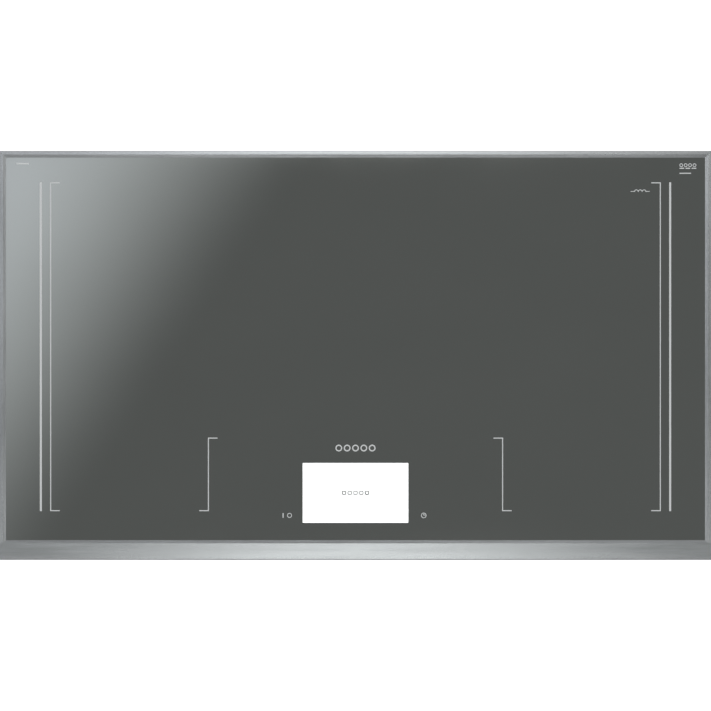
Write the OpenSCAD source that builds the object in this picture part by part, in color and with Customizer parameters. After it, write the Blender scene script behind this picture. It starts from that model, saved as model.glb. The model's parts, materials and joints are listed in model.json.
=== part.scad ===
// Built-in electric induction cooktop with a full-surface cooking zone.
// The origin is the centre of the housing's underside: +Z is up, -Y is the front, where the cook stands.
// Every length is in millimetres and every angle in degrees.

/* [Frame] */
// Width over the frame
frame_w = 940; // [780:1:1140]
// Depth over the frame
frame_d = 540; // [450:1:650]
// Width of the lip that covers the glass at the sides and the rear
lip_w = 9; // [7:0.5:14]
// Width of the brushed strip along the front
front_lip_w = 26.4; // [18:0.1:34]
// Width of the slope between the lip's flat top and the glass
lip_slope_w = 4; // [2:0.5:5]
// Thickness of the lip over the glass
lip_t = 1.2; // [1:0.1:2.5]
// Thickness left at the lip's inner edge
lip_edge_t = 0.25; // [0.2:0.05:0.8]
// How far the front strip falls towards the cook
front_fall = 0.4; // [0:0.1:0.6]
// Radius along the frame's upper outer edges
edge_r = 0.7; // [0.4:0.1:0.8]
// Thickness of the frame's outer wall
frame_wall = 1.5; // [1:0.1:3]
// Thickness of the frame's lower flange
flange_t = 0.7; // [0.6:0.1:1.5]
// Width of the lower flange, inside the outer wall
flange_w = 14.5; // [12:0.5:20]
// How far the outer wall stops above the worktop
worktop_clearance = 0.4; // [0.2:0.1:1]

/* [Glass] */
// Thickness of the glass-ceramic plate
glass_t = 4; // [3:0.5:6]
// Gap between the plate's edge and the frame's wall
glass_gap = 0.8; // [0.5:0.1:2]
// Radius of the plate's corners
glass_corner_r = 3; // [1:0.5:6]
// Thickness of the silicone under the plate
bond_t = 0.4; // [0.3:0.1:1]
// Thickness of the silicone under the lip
lip_bond_t = 0.2; // [0.1:0.1:0.5]
// Width of the silicone beads on the flange and the glass rails
bead_w = 10; // [6:1:12]
// Gap between a bead and the edge that hides it
bead_inset = 2.5; // [1:0.5:4]
// Thickness of the printed lines
print_t = 0.1; // [0.1:0.05:0.3]

/* [Worktop] */
// Height of the worktop above the housing's underside
body_h = 102; // [96:1:125]
// Overhang of the frame past the worktop's cut-out, left and right
overhang_x = 28; // [24:0.5:40]
// Overhang of the frame past the worktop's cut-out, front and rear
overhang_y = 17.5; // [16.5:0.5:30]
// Gap between the housing and the cut-out, left and right
cutout_gap_x = 4; // [3:0.5:10]
// Gap between the housing and the cut-out, front and rear
cutout_gap_y = 6.5; // [3:0.5:10]
// Thickness of the foam gasket once it carries the cooktop
gasket_t = 1.5; // [1:0.1:3]
// Width of the foam gasket
gasket_w = 10; // [8:0.5:12]
// Distance from the frame's outer face to the gasket
gasket_inset = 4; // [2:0.5:5]
// Thickness of the worktop that the hold-downs grip at rest
worktop_t = 30; // [24:1:36]

/* [Cooking zone] */
// Distance from the frame's side to the zone's printed line
zone_side = 68; // [60:1:90]
// Distance from the frame's rear edge to the zone's printed line
zone_rear = 41.6; // [35:0.1:60]
// Distance from the frame's front edge to the zone's printed line
zone_front = 64.7; // [60:0.1:80]
// Width of the notch that the display takes out of the zone
notch_w = 388; // [340:1:440]
// Depth of that notch
notch_d = 97; // [90:1:120]
// Width of the zone's thin lines
thin_line = 1.3; // [0.8:0.1:2]
// Width of the two thick lines beside the zone
thick_line = 2.6; // [2:0.1:4]
// Distance of the thick lines outside the thin ones
thick_offset = 13; // [8:0.5:20]
// Length of the short arms on the thin lines
line_arm = 12; // [8:0.5:20]

/* [Inductors] */
// Diameter of one inductor's carrier
coil_d = 70; // [58:1:90]
// Gap between two carriers of a row
column_gap = 11; // [4:0.5:16]
// Gap between two rows, front to back
row_gap = 1.8; // [1.4:0.1:6]
// Radius of the hole through the carrier for its sensor
sensor_bore_r = 5.5; // [5:0.1:7]
// Wall of the carrier's hub
hub_wall = 4; // [2:0.5:6]
// Thickness of the copper winding
winding_t = 4.8; // [3:0.1:7]
// Thickness of the carrier's plate under the winding
plate_t = 1.5; // [1:0.1:3]
// Thickness of the ferrite
ferrite_t = 4; // [3:0.1:6]
// Thickness of the carrier's base
carrier_base_t = 2; // [1.5:0.1:3]
// Number of ferrite spokes
ferrite_spokes = 8; // [5:1:10]
// Thickness of the heat-insulating mat
mat_t = 1.6; // [1:0.1:3]
// Gap between the inductors and the mat
mat_gap = 0.3; // [0.3:0.1:1]

/* [Inductor trays] */
// Thickness of a tray's sheet
tray_t = 1.5; // [1:0.1:2.5]
// How far a tray reaches past its outermost rows
tray_edge = 0.5; // [0.2:0.1:0.6]
// Height of a tray's turned-down edges
tray_fold = 4; // [3:0.5:5]
// Free height between the bridges and the trays
spring_h = 8.5; // [8:0.5:12]
// Thickness of a leaf spring's strip
spring_t = 0.6; // [0.4:0.1:1]
// Width of a leaf spring
spring_w = 14; // [10:1:18]
// Length of a leaf spring's bow
spring_span = 44; // [36:1:50]
// Length of each flat foot of a leaf spring
spring_foot = 5; // [3:0.5:8]
// Width of the bridges that carry the springs
bridge_w = 24; // [20:1:30]
// Thickness of the bridges' sheet
bridge_t = 1.5; // [1:0.1:2.5]
// Depth of the bridges' turned-down sides
bridge_fold = 10; // [8:1:14]
// Distance of the inner bridges from the middle
bridge_inner_x = 130; // [122:1:150]
// Distance of the outer bridges from the housing's side
bridge_outer_gap = 77; // [72:1:90]

/* [Housing] */
// Thickness of the housing's sheet steel
sheet_t = 1; // [0.8:0.1:1.5]
// How far the housing's walls stop below the worktop's surface
wall_drop = 2; // [1:0.5:4]
// Width of the folds that join the housing's sheets
fold_w = 12; // [8:1:16]
// Width of the recess for the power lead, at the rear right corner
recess_w = 56; // [50:1:60]
// Depth of that recess
recess_d = 60; // [50:1:70]
// Height of that recess
recess_h = 50; // [44:1:55]
// Width of one air slot
slot_w = 4; // [3:0.5:6]
// Height of one air slot
slot_h = 34; // [20:1:40]
// Distance between two air slots
slot_pitch = 9; // [8:0.5:12]
// Number of slots in one group
slot_count = 18; // [10:1:22]
// Depth of the shallow well that holds the access cover
cover_well = 3; // [2.6:0.1:4]

/* [Display] */
// Width of the display's lit area
screen_w = 139.4; // [120:0.1:160]
// Depth of the display's lit area
screen_d = 79.1; // [70:0.1:90]
// Thickness of the display panel
screen_t = 2.4; // [1.5:0.1:4]
// Distance from the zone's front line to the middle of the display
screen_y_offset = 24; // [18:0.5:30]
// Width of the display frame's border
screen_border = 7; // [5:0.5:8]
// Thickness of every circuit board
board_t = 1.6; // [1:0.1:2.4]
// Distance of the two touch keys from the middle
key_x = 90; // [88:1:105]

/* [Electronics] */
// Width of a power board
board_w = 220; // [180:1:240]
// Length of a power board, front to back
board_l = 220; // [180:1:240]
// Height of a board above the housing's floor
board_lift = 7; // [5:0.5:9]
// Width of the heat sinks
sink_w = 68; // [55:1:72]
// Length of the heat sinks
sink_l = 180; // [120:1:190]
// Thickness of one fin
fin_t = 1.6; // [1:0.1:2.5]
// Number of fins
fin_count = 12; // [8:1:14]
// Outer radius of a fan's rotor
rotor_r = 37; // [32:0.5:40]
// Height of a fan's case
fan_h = 33; // [30:1:38]
// Number of blades
blade_count = 28; // [18:1:32]
// Radius of a fan's shaft
shaft_r = 1.5; // [1.5:0.1:2.5]
// Radial running clearance of the fan and hold-down shafts
running_gap = 0.04; // [0.02:0.01:0.08]

/* [Hold-downs and fasteners] */
// Radius of the clamp screws
clamp_r = 3; // [2.5:0.1:4]
// Distance of a clamp screw from the housing's side
clamp_reach = 17; // [15:0.5:18]
// Thickness of the hold-down brackets
bracket_t = 2; // [1.5:0.1:3]
// Width of the hold-down brackets
bracket_w = 34; // [28:1:44]
// Radius of the sheet-metal screws' shanks
screw_r = 2; // [1.5:0.1:2.5]
// Radius of the sheet-metal screws' heads
head_r = 3.6; // [3:0.1:4.5]
// Height of the sheet-metal screws' heads
head_h = 2; // [1.5:0.1:2.4]
// Radius of the power lead's conduit opening
conduit_r = 8; // [6:0.5:9]

/* [Hidden] */
$fn = 64;
epsilon = 0.01;       // how far a cutting shape reaches past the face it cuts
hole_gap = 0.1;       // radial gap between a sheet-metal screw and its hole

// Heights, from the worktop up
flange_z = body_h + gasket_t;
glass_z0 = flange_z + flange_t + bond_t;
glass_z1 = glass_z0 + glass_t;
lip_z = glass_z1 + lip_bond_t;
frame_top = lip_z + lip_t;

// Heights, from the glass down
mat_z = glass_z0 - mat_t;
coil_top = mat_z - mat_gap;
winding_z = coil_top - winding_t;
plate_z = winding_z - plate_t;
ferrite_room = 0.2;   // play above the ferrite
ferrite_bar_w = 6;
hub_r = sensor_bore_r + hub_wall;
winding_turns = 6;
winding_gap = 0.3;    // around the hub
groove = 0.5;         // width and depth of the groove between two turns
ferrite_end_gap = 1;  // from a bar's end to the carrier's rim
rim_post_w = 4;       // posts at the carrier's rim, between its base and its plate
rim_post_t = 2;
sensor_foot_h = 3;
sensor_button_h = 3;
sensor_gap = 0.3;     // between a sensor's button and the plate
sensor_play = 0.2;    // around a sensor in its bore
ferrite_z = plate_z - ferrite_t - ferrite_room;
carrier_z = ferrite_z - carrier_base_t;
tray_z = carrier_z - tray_t;
bridge_z = tray_z - spring_h;
bridge_bottom = bridge_z - bridge_fold;

// Plan sizes
half_w = frame_w / 2;
half_d = frame_d / 2;
pan_x = half_w - overhang_x - cutout_gap_x;
pan_y = half_d - overhang_y - cutout_gap_y;
pan_h = body_h - wall_drop;
in_x = pan_x - sheet_t;
in_y = pan_y - sheet_t;
glass_x = half_w - frame_wall - glass_gap;
glass_y = half_d - frame_wall - glass_gap;
zone_x = half_w - zone_side;
zone_y1 = half_d - zone_rear;
zone_y0 = -half_d + zone_front;
notch_x = notch_w / 2;
notch_y = zone_y0 + notch_d;
screen_y = zone_y0 + screen_y_offset;
front_edge_y = -half_d + front_lip_w;
front_butt_y = front_edge_y - lip_slope_w;

// Printed symbols
emblem_gap = 19.7;    // from the lit area to the row of rings
emblem_y = screen_y + screen_d / 2 + emblem_gap;
emblem_r = 4.5;
emblem_pitch = 11;
emblem_line = 1.6;
key_symbol_y = screen_y - 29.6;
key_bar_x = -5.5;     // from the key's middle to the switch's bar
key_bar_w = 1.4;
key_bar_l = 6;
key_ring_x = 3;
key_ring_r = 3.2;
clock_r = 3.6;
clock_hand = 2.5;
small_line = 0.9;     // width of the fine strokes
coil_sign_r = 3;
coil_sign_lead = 4;
coil_sign_x = zone_x - 26.5;
coil_sign_y = zone_y1 - 12.5;
mark_y = half_d - 17.8;
mark_inset = 23;      // from the frame's side to the outermost mark
mark_dash = 16;
mark_rings = 4;
mark_ring_r = 2.4;
mark_ring_pitch = 5.8;
mark_dashes = 3;
mark_short = 6;
mark_pitch = 8;
mark_row_y = [0, -1.2, -6, -12.6];

// Inductor grid: staggered rows, counted from the rear
column_pitch = coil_d + column_gap;
row_pitch = coil_d + row_gap;
columns = floor((2 * zone_x - coil_d) / column_pitch) + 1;
rows = floor((zone_y1 - zone_y0 - coil_d) / row_pitch) + 1;
leg_rows = 2;         // rows beside the display
rear_rows = ceil((rows - leg_rows) / 2);
first_row_y = (zone_y1 + zone_y0 + (rows - 1) * row_pitch) / 2;
function row_y(row) = first_row_y - row * row_pitch;
function row_x(row) =
    let (n = columns - row % 2)
    [for (i = [0:n - 1]) (i - (n - 1) / 2) * column_pitch];
function row_places(row) =
    [for (x = row_x(row)) if (row < rows - leg_rows || abs(x) > notch_x) [x, row_y(row)]];
function tray_rows(tray) =
    tray == "rear" ? [0:rear_rows - 1]
    : tray == "middle" ? [rear_rows:rows - leg_rows - 1]
    : [rows - leg_rows:rows - 1];
function tray_places(tray) = [for (row = tray_rows(tray)) each row_places(row)];
tray_x = (columns - 1) / 2 * column_pitch + coil_d / 2 + 2;
leg_x = min([for (p = tray_places("front")) abs(p.x)]) - coil_d / 2 - 2;
front_strip = 46;     // depth of the strip that joins the front tray's two legs
function tray_y1(tray) = max([for (p = tray_places(tray)) p.y]) + coil_d / 2 + tray_edge;
function tray_y0(tray) = min([for (p = tray_places(tray)) p.y]) - coil_d / 2 - tray_edge;

// Bridges and springs
bridge_outer_x = in_x - bridge_outer_gap;
bridge_xs = [-bridge_outer_x, -bridge_inner_x, bridge_inner_x, bridge_outer_x];
bridge_tab = 12;
bridge_screw_z = bridge_bottom - bridge_tab / 2;
strip_y0 = tray_y1("front") - front_strip;
mat_margin = 3;
function spring_y(tray, x) =
    tray == "front" && abs(x) < leg_x ? tray_y1(tray) - front_strip / 2
    : (tray_y1(tray) + tray_y0(tray)) / 2;
spring_clearance = 0.1;

// Glass rails and the screws that join them to the housing
rail_leg = 14;
rail_t = 1;
rail_drop = 19;
rail_end_gap = 25;
rail_z = glass_z0 - bond_t;
screw_z = rail_z - 10;
side_screw_count = 4;
front_screw_count = 5;
function spread(n, reach) = [for (i = [0:n - 1]) -reach + 2 * reach * i / (n - 1)];
side_screw_ys = spread(side_screw_count, in_y - 70);
front_screw_xs = spread(front_screw_count, in_x - 75);

// Folds and screws of the housing
fold_top = pan_h - 2;
corner_x = in_x - fold_w / 2;
corner_low_z = 20;
corner_high_z = 80;
recess_corner_z = recess_h + 12;
support_screw_xs = [-70, 70];
wall_shank = 8;
cross_d = 0.8;        // depth and width of a screw's cross
wall_screws = concat(
    [for (x = front_screw_xs) [x, screw_z]],
    [for (x = bridge_xs) [x, bridge_screw_z]],
    [[-corner_x, corner_low_z], [-corner_x, corner_high_z], [corner_x, corner_high_z]]);
wall_screws_front = concat(wall_screws, [[corner_x, corner_low_z]],
    [for (x = support_screw_xs) [x, bridge_screw_z]]);
wall_screws_rear = concat(wall_screws, [[corner_x, recess_corner_z]]);

// Display
screen_play = 0.4;    // between the lit panel and the plate
screen_z = glass_z0 - screen_play - screen_t;
screen_gap = 0.3;     // around the lit panel in its frame
frame_floor_t = 2;
key_r = 6;
key_gap = 0.3;        // between a key's pad and the plate
key_wing_d = 18;
support_t = 1.2;
support_z = bridge_z + support_t;
support_y1 = spring_y("front", bridge_inner_x) - spring_span / 2 - spring_foot - 3;
control_lift = 5;
control_inset = 8;    // the control board's side, from the lit area's side
chips = 3;
chip_size = [22, 22, 2];
chip_pitch = 36;
control_z = support_z + control_lift + board_t;

// Electronics, measured from the front wall
side_room = 62;
board_x = in_x - side_room - board_w / 2;
board_front = 172;    // from the front wall to an inverter board
board_y = -in_y + board_front + board_l / 2;
board_z = sheet_t + board_lift;
board_top = board_z + board_t;
board_shank = board_top - sheet_t / 2;
standoff_r = 3;
standoff_inset = 8;
board_screw_xs = [for (s = [-1, 1]) board_x + s * (board_w / 2 - standoff_inset)];
board_screw_ys = [for (s = [-1, 1]) board_y + s * (board_l / 2 - standoff_inset)];
filter_gap = 15;
filter_x = board_x - board_w / 2 - filter_gap;
filter_y1 = in_y - 50;
filter_d = 150;
filter_screw_xs = [for (s = [-1, 1]) s * (filter_x - standoff_inset)];
filter_screw_ys = [filter_y1 - filter_d + standoff_inset, filter_y1 - standoff_inset];
slot_z = 12;
wire_r = 2.2;
wire_inset = 8;       // from a board's edge to a wire's end
control_lead_x = 20;

// Fans
fan_y = -in_y + 110;
fan_x_offset = -15;   // fan centre, from the board's centre
fan_z = sheet_t + 1.5;
fan_wall = 1.5;
fan_inlet_r = rotor_r - 4;
fan_lug_angles = [120, 210, 300];
lug_h = fan_z + fan_wall - sheet_t;
scroll_r0 = rotor_r + 4;
scroll_r1 = rotor_r + 15;
scroll_start = 70;
outlet_y = rotor_r + 21;
outlet_x0 = scroll_r0 * cos(scroll_start);
lug_reach = scroll_r1 + 5;
rotor_wall = 1.5;
rotor_cup_r = 16;
rotor_cup_z = 8;
stator_r = 12;
stator_z = rotor_cup_z + rotor_wall + 1;
bush_top = fan_h - 2 * fan_wall - 1;
shaft_top = bush_top - 0.5;
shroud_z = 4;
shroud_w = 5;
blade_chord = 9;
blade_t = 0.9;
shroud_t = 1;
blade_sweep = 12;     // angle that a blade turns through

// Heat sinks
sink_x_offset = fan_x_offset + (outlet_x0 + scroll_r1) / 2;
sink_base = 5;
sink_lift = 2.4;
sink_top = bridge_bottom - 4;

// Parts on the boards
transistors = 6;
transistor_size = [40, 16, sink_lift];
parts_forward = 6;    // capacitors and films sit this far in front of a board's middle
capacitors = 3;
capacitor_r = 16;
capacitor_h = 40;
capacitor_inset = wire_inset + 1.5 * wire_r + capacitor_r;
capacitor_pitch = 44;
films = 4;
film_size = [18, 26, 24];
film_inset = 56;
film_pitch = 32;
plugs = 10;
plug_size = [14, 12, 11];
plug_inset = 16;
plug_pitch = 18;
chokes = 3;
choke_r = 24;
choke_h = 20;
choke_pitch = 60;
choke_shift = 20;     // the filter's rows sit this far left of the middle
choke_row = 50;       // from the filter board's rear edge
relays = 4;
relay_size = [36, 16, 22];
relay_pitch = 50;
relay_row = 110;

// Corner recess, gland and terminal block
recess_x = pan_x - recess_w;
recess_y = pan_y - recess_d;
gland_x = recess_x + recess_w / 2;
gland_z = recess_h / 2;
gland_thread_r = conduit_r + 3.1;
gland_hex_r = conduit_r + 8;
gland_collar = 8;
gland_out = 14;
gland_in = 14;
locknut_t = 5;
block_ways = 5;
block_pitch = 14;
block_wall = 2;
block_w = 22;
block_back = 3;       // thickness left behind and above a chamber
clamp_inset = 5;      // from the block's face to a brass clamp
clamp_side = 1;       // between a brass clamp and its chamber's side
clamp_h = 12;
block_h = 26;
block_z = 14;
block_flange_t = 6;
block_flange_h = 10;
block_y1 = recess_y - gland_in - 3;
block_y0 = block_y1 - block_ways * block_pitch - block_wall;
block_screw_ys = [block_y0 + block_flange_h, block_y1 - block_flange_h];
block_screw_z = block_z + block_h + block_flange_h / 2;

// Access cover in its well
cover_t = 1;
cover_x0 = recess_x + 4;
cover_x1 = in_x - fold_w - 2;
cover_l = 84;
cover_y1 = recess_y - 8;
cover_y0 = cover_y1 - cover_l;
cover_gap = 0.5;
well_x0 = cover_x0 - cover_gap;
well_x1 = cover_x1 + cover_gap;
well_y0 = cover_y0 - cover_gap;
well_y1 = cover_y1 + cover_gap;
cover_screw_inset = 4;
cover_screws = [for (x = [cover_x0 + cover_screw_inset, cover_x1 - cover_screw_inset],
    y = [cover_y0 + cover_screw_inset, cover_y1 - cover_screw_inset]) [x, y]];
cover_shank = 6;

// Hold-downs
clamp_x = pan_x + clamp_reach;
bracket_z = 46;
bracket_h = 34;
bracket_screw_ys = [-10, 10];
bracket_screw_z = bracket_z + 16;
clamp_boss = 6;
foot_z = body_h - worktop_t;
foot_h = 6;
foot_r = 8;
foot_cap = 2;
foot_play = 0.2;
spigot_r = 0.7 * clamp_r;
clamp_head_z = 12;
clamp_head_h = 7;
clamp_wing = 11;      // from the screw's axis to a wing's tip
clamp_wing_t = 2;

// An axis-aligned block between its lowest and its highest corner
module block(lo, hi) {
    translate(lo) cube(hi - lo);
}

// Two mirror copies, left and right
module both_sides() {
    children();
    mirror([1, 0, 0]) children();
}

// A flat ring between two centred rectangles given by their half sizes
module rectangular_ring(outer, inner, z0, z1) {
    translate([0, 0, z0]) linear_extrude(z1 - z0) difference() {
        square(2 * outer, center = true);
        square(2 * inner, center = true);
    }
}

// A plate with rounded corners, centred on the origin
module rounded_plate(half, r, z0, z1) {
    translate([0, 0, z0]) linear_extrude(z1 - z0) union() {
        square([2 * half.x, 2 * (half.y - r)], center = true);
        square([2 * (half.x - r), 2 * half.y], center = true);
        for (sx = [-1, 1], sy = [-1, 1])
            translate([sx * (half.x - r), sy * (half.y - r)]) circle(r);
    }
}

// A round bar or hole along Y, centred on a point
module bar_y(at, r, y0, y1) {
    translate([at.x, y0, at.z]) rotate([-90, 0, 0]) cylinder(h = y1 - y0, r = r);
}

// A round bar or hole along X, centred on a point
module bar_x(at, r, x0, x1) {
    translate([x0, at.y, at.z]) rotate([0, 90, 0]) cylinder(h = x1 - x0, r = r);
}

// Copies of a part in a row, centred on the row
module row_of(count, step) {
    for (i = [0:count - 1]) translate((i - (count - 1) / 2) * step) children();
}

// A block on a board, centred in plan
module cased_part(size) {
    translate([0, 0, size.z / 2]) cube(size, center = true);
}

// An upright hole for a screw
module screw_hole(z0, z1) {
    translate([0, 0, z0]) cylinder(h = z1 - z0, r = screw_r + hole_gap);
}

// ---- Plate, print and frame ----

// The black glass-ceramic plate that the pans stand on
module glass_plate() {
    color("#4f5250") rounded_plate([glass_x, glass_y], glass_corner_r, glass_z0, glass_z1);
}

// A printed stroke between its lowest and its highest corner, in plan
module stroke(lo, hi) {
    block([lo.x, lo.y, glass_z1], [hi.x, hi.y, glass_z1 + print_t]);
}

// A ring
module printed_ring(at, r, w) {
    translate([at.x, at.y, glass_z1]) difference() {
        cylinder(h = print_t, r = r);
        translate([0, 0, -epsilon]) cylinder(h = print_t + 2 * epsilon, r = r - w);
    }
}

// The bracket at the right end of the zone: a line with an inward arm at each end
module zone_bracket() {
    stroke([zone_x - thin_line / 2, zone_y0], [zone_x + thin_line / 2, zone_y1]);
    stroke([zone_x - line_arm, zone_y0], [zone_x - thin_line / 2, zone_y0 + thin_line]);
    stroke([zone_x - line_arm, zone_y1 - thin_line], [zone_x - thin_line / 2, zone_y1]);
}

// The line beside the display: its rear arm points inward and its front arm outward
module notch_bracket() {
    stroke([notch_x - thin_line / 2, zone_y0], [notch_x + thin_line / 2, notch_y]);
    stroke([notch_x - line_arm, notch_y - thin_line], [notch_x - thin_line / 2, notch_y]);
    stroke([notch_x + thin_line / 2, zone_y0], [notch_x + line_arm, zone_y0 + thin_line]);
}

// Plain rings behind the display, as a row of small coils
module coil_emblem() {
    for (i = [-2:2]) printed_ring([i * emblem_pitch, emblem_y], emblem_r, emblem_line);
}

// The two touch keys' symbols: a switch's bar and ring, and a clock face
module key_symbols() {
    translate([-key_x, key_symbol_y, 0]) {
        stroke([key_bar_x - key_bar_w / 2, -key_bar_l / 2],
            [key_bar_x + key_bar_w / 2, key_bar_l / 2]);
        printed_ring([key_ring_x, 0], key_ring_r, small_line);
    }
    translate([key_x, key_symbol_y, 0]) {
        printed_ring([0, 0], clock_r, small_line);
        stroke([-small_line / 2, 0], [small_line / 2, clock_hand]);
        stroke([small_line / 2, 0], [clock_hand, small_line]);
    }
}

// A row of three humps between two leads, the sign for a coil
module inductor_symbol() {
    w = 2 * coil_sign_r - small_line;
    translate([coil_sign_x, coil_sign_y, 0]) {
        row_of(3, [w, 0, 0]) intersection() {
            printed_ring([0, 0], coil_sign_r, small_line);
            block([-coil_sign_r, 0, glass_z1 - epsilon], [coil_sign_r, coil_sign_r, frame_top]);
        }
        row_of(2, [3 * w + coil_sign_lead, 0, 0])
            stroke([-coil_sign_lead / 2 - small_line, 0],
                [coil_sign_lead / 2 + small_line, small_line]);
    }
}

// A printed dash from its lower left corner
module dash(at, length, w) {
    stroke(at, at + [length, w]);
}

// Small plain marks in the rear corners: a dash, and rings over two rows of dashes
module corner_marks() {
    left = mark_inset - half_w;
    right = half_w - mark_inset;
    dash([left, mark_y + mark_row_y[0]], mark_dash, 2 * small_line);
    for (i = [0:mark_rings - 1])
        printed_ring([right - i * mark_ring_pitch, mark_y + mark_row_y[1]], mark_ring_r, small_line);
    for (i = [0:mark_dashes - 1])
        dash([right - mark_short - i * mark_pitch + mark_ring_r, mark_y + mark_row_y[2]],
            mark_short, key_bar_w);
    dash([right - mark_dashes * mark_pitch + mark_ring_r + mark_pitch - mark_short,
        mark_y + mark_row_y[3]], mark_dash - small_line, key_bar_w);
}

// Every enamel print on the plate
module printed_markings() {
    color("#d9dcda") {
        both_sides() {
            zone_bracket();
            notch_bracket();
            translate([zone_x + thick_offset, 0, 0])
                stroke([-thick_line / 2, zone_y0], [thick_line / 2, zone_y1]);
        }
        coil_emblem();
        key_symbols();
        inductor_symbol();
        corner_marks();
    }
}

// The rail's section, from its outer face inward: wall, lower flange and lip
module rail_profile(lip, fall) {
    difference() {
        polygon([
            [0, body_h + worktop_clearance],
            [frame_wall, body_h + worktop_clearance],
            [frame_wall, flange_z],
            [frame_wall + flange_w, flange_z],
            [frame_wall + flange_w, flange_z + flange_t],
            [frame_wall, flange_z + flange_t],
            [frame_wall, lip_z],
            [lip, lip_z],
            [lip, lip_z + lip_edge_t],
            [lip - lip_slope_w, frame_top],
            [edge_r, frame_top - fall],
            [0, frame_top - fall]
        ]);
        difference() {
            translate([-edge_r, frame_top - fall - edge_r]) square(2 * edge_r);
            translate([edge_r, frame_top - fall - edge_r]) circle(edge_r);
        }
    }
}

// The space of the right-hand rail in plan: mitred at the rear, stepped at the front
module side_rail_region() {
    inner = frame_wall + flange_w;
    polygon([
        [half_w, half_d],
        [half_w - inner, half_d - inner],
        [half_w - inner, front_edge_y],
        [half_w - lip_w, front_edge_y],
        [half_w - lip_w + lip_slope_w, front_butt_y],
        [half_w, front_butt_y]
    ]);
}

// The rail along the right-hand side, from front to rear
module side_rail() {
    intersection() {
        translate([half_w, half_d, 0]) mirror([1, 0, 0]) rotate([90, 0, 0])
            linear_extrude(frame_d) rail_profile(lip_w, 0);
        translate([0, 0, body_h]) linear_extrude(frame_top - body_h + epsilon) side_rail_region();
    }
}

// The rail along the right-hand side
module trim_right() {
    color("#9aa0a2") side_rail();
}

// The rail along the left-hand side
module trim_left() {
    color("#9aa0a2") mirror([1, 0, 0]) side_rail();
}

// The narrow rail along the rear edge, mitred at both ends
module trim_rear() {
    inner = frame_wall + flange_w;
    color("#b0b4b5") intersection() {
        translate([half_w, half_d, 0]) rotate([90, 0, -90])
            linear_extrude(frame_w) rail_profile(lip_w, 0);
        translate([0, 0, body_h]) linear_extrude(frame_top - body_h + epsilon) polygon([
            [-half_w, half_d], [half_w, half_d],
            [half_w - inner, half_d - inner], [inner - half_w, half_d - inner]
        ]);
    }
}

// The wide brushed rail along the front edge, with its ends closed
module trim_front() {
    inner = frame_wall + flange_w;
    color("#b9bdc0") intersection() {
        union() {
            translate([-half_w, -half_d, 0]) rotate([90, 0, 90])
                linear_extrude(frame_w) rail_profile(front_lip_w, front_fall);
            both_sides() {
                block([half_w - frame_wall, -half_d, body_h + worktop_clearance],
                    [half_w, front_butt_y, lip_z]);
                block([half_w - inner, -half_d + frame_wall, flange_z],
                    [half_w, front_edge_y, flange_z + flange_t]);
            }
        }
        difference() {
            translate([-half_w, -half_d, body_h]) cube([frame_w, front_lip_w, frame_top]);
            both_sides() translate([0, 0, body_h - epsilon])
                linear_extrude(frame_top) side_rail_region();
            both_sides() rail_end_rounding();
        }
    }
}

// What a rounded end of the front rail leaves out
module rail_end_rounding() {
    translate([half_w - edge_r, front_butt_y + epsilon, frame_top - front_fall - edge_r])
        rotate([90, 0, 0]) linear_extrude(front_lip_w) difference() {
            square(2 * edge_r);
            circle(edge_r);
        }
}

// Silicone on the frame's flange, under its lip and on the glass rails
module frame_adhesive() {
    outer = [half_w - frame_wall - bead_inset, half_d - frame_wall - bead_inset];
    rail_half = [in_x - bead_inset, in_y - bead_inset];
    rail_end = [in_x - rail_end_gap, in_y - rail_end_gap];
    lip_cover = lip_w - bead_inset;
    front_cover = front_lip_w - bead_inset;
    rail_bead = rail_leg - 2 * bead_inset;
    color("#26282a") {
        rectangular_ring(outer, outer - [bead_w, bead_w], flange_z + flange_t, glass_z0);
        difference() {
            block([-glass_x, -glass_y, glass_z1], [glass_x, glass_y, lip_z]);
            block([lip_cover - half_w, front_cover - half_d, glass_z1 - epsilon],
                [half_w - lip_cover, half_d - lip_cover, lip_z + epsilon]);
            corner = 2 * glass_corner_r;
            for (sx = [-1, 1], sy = [-1, 1])
                translate([sx * glass_x, sy * glass_y, 0])
                    block([-corner, -corner, glass_z1 - epsilon], [corner, corner, lip_z + epsilon]);
        }
        for (s = [-1, 1]) {
            block([-rail_end.x, s * (rail_half.y - rail_bead / 2) - rail_bead / 2, rail_z],
                [rail_end.x, s * (rail_half.y - rail_bead / 2) + rail_bead / 2, glass_z0]);
            block([s * (rail_half.x - rail_bead / 2) - rail_bead / 2, -rail_end.y, rail_z],
                [s * (rail_half.x - rail_bead / 2) + rail_bead / 2, rail_end.y, glass_z0]);
        }
    }
}

// The foam strip between the frame and the worktop
module worktop_gasket() {
    outer = [half_w - gasket_inset, half_d - gasket_inset];
    color("#2b2b2d")
        rectangular_ring(outer, outer - [gasket_w, gasket_w], body_h, flange_z);
}

// A glass rail along X against the rear wall: one leg under the glass, one down the wall
module glass_rail(half_l, wall, holes) {
    difference() {
        union() {
            block([-half_l, wall - rail_t, rail_z - rail_drop], [half_l, wall, rail_z]);
            block([-half_l, wall - rail_leg, rail_z - rail_t], [half_l, wall, rail_z]);
        }
        for (x = holes)
            bar_y([x, 0, screw_z], screw_r + hole_gap, wall - 2 * rail_t, wall + rail_t);
    }
}

// The rail behind the front wall
module glass_rail_front() {
    color("#c3c7c9") mirror([0, 1, 0]) glass_rail(in_x - rail_end_gap, in_y, front_screw_xs);
}

// The rail behind the rear wall
module glass_rail_rear() {
    color("#c3c7c9") glass_rail(in_x - rail_end_gap, in_y, front_screw_xs);
}

// The rail inside the left-hand panel
module glass_rail_left() {
    color("#c3c7c9") rotate([0, 0, 90]) glass_rail(in_y - rail_end_gap, in_x, side_screw_ys);
}

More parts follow.
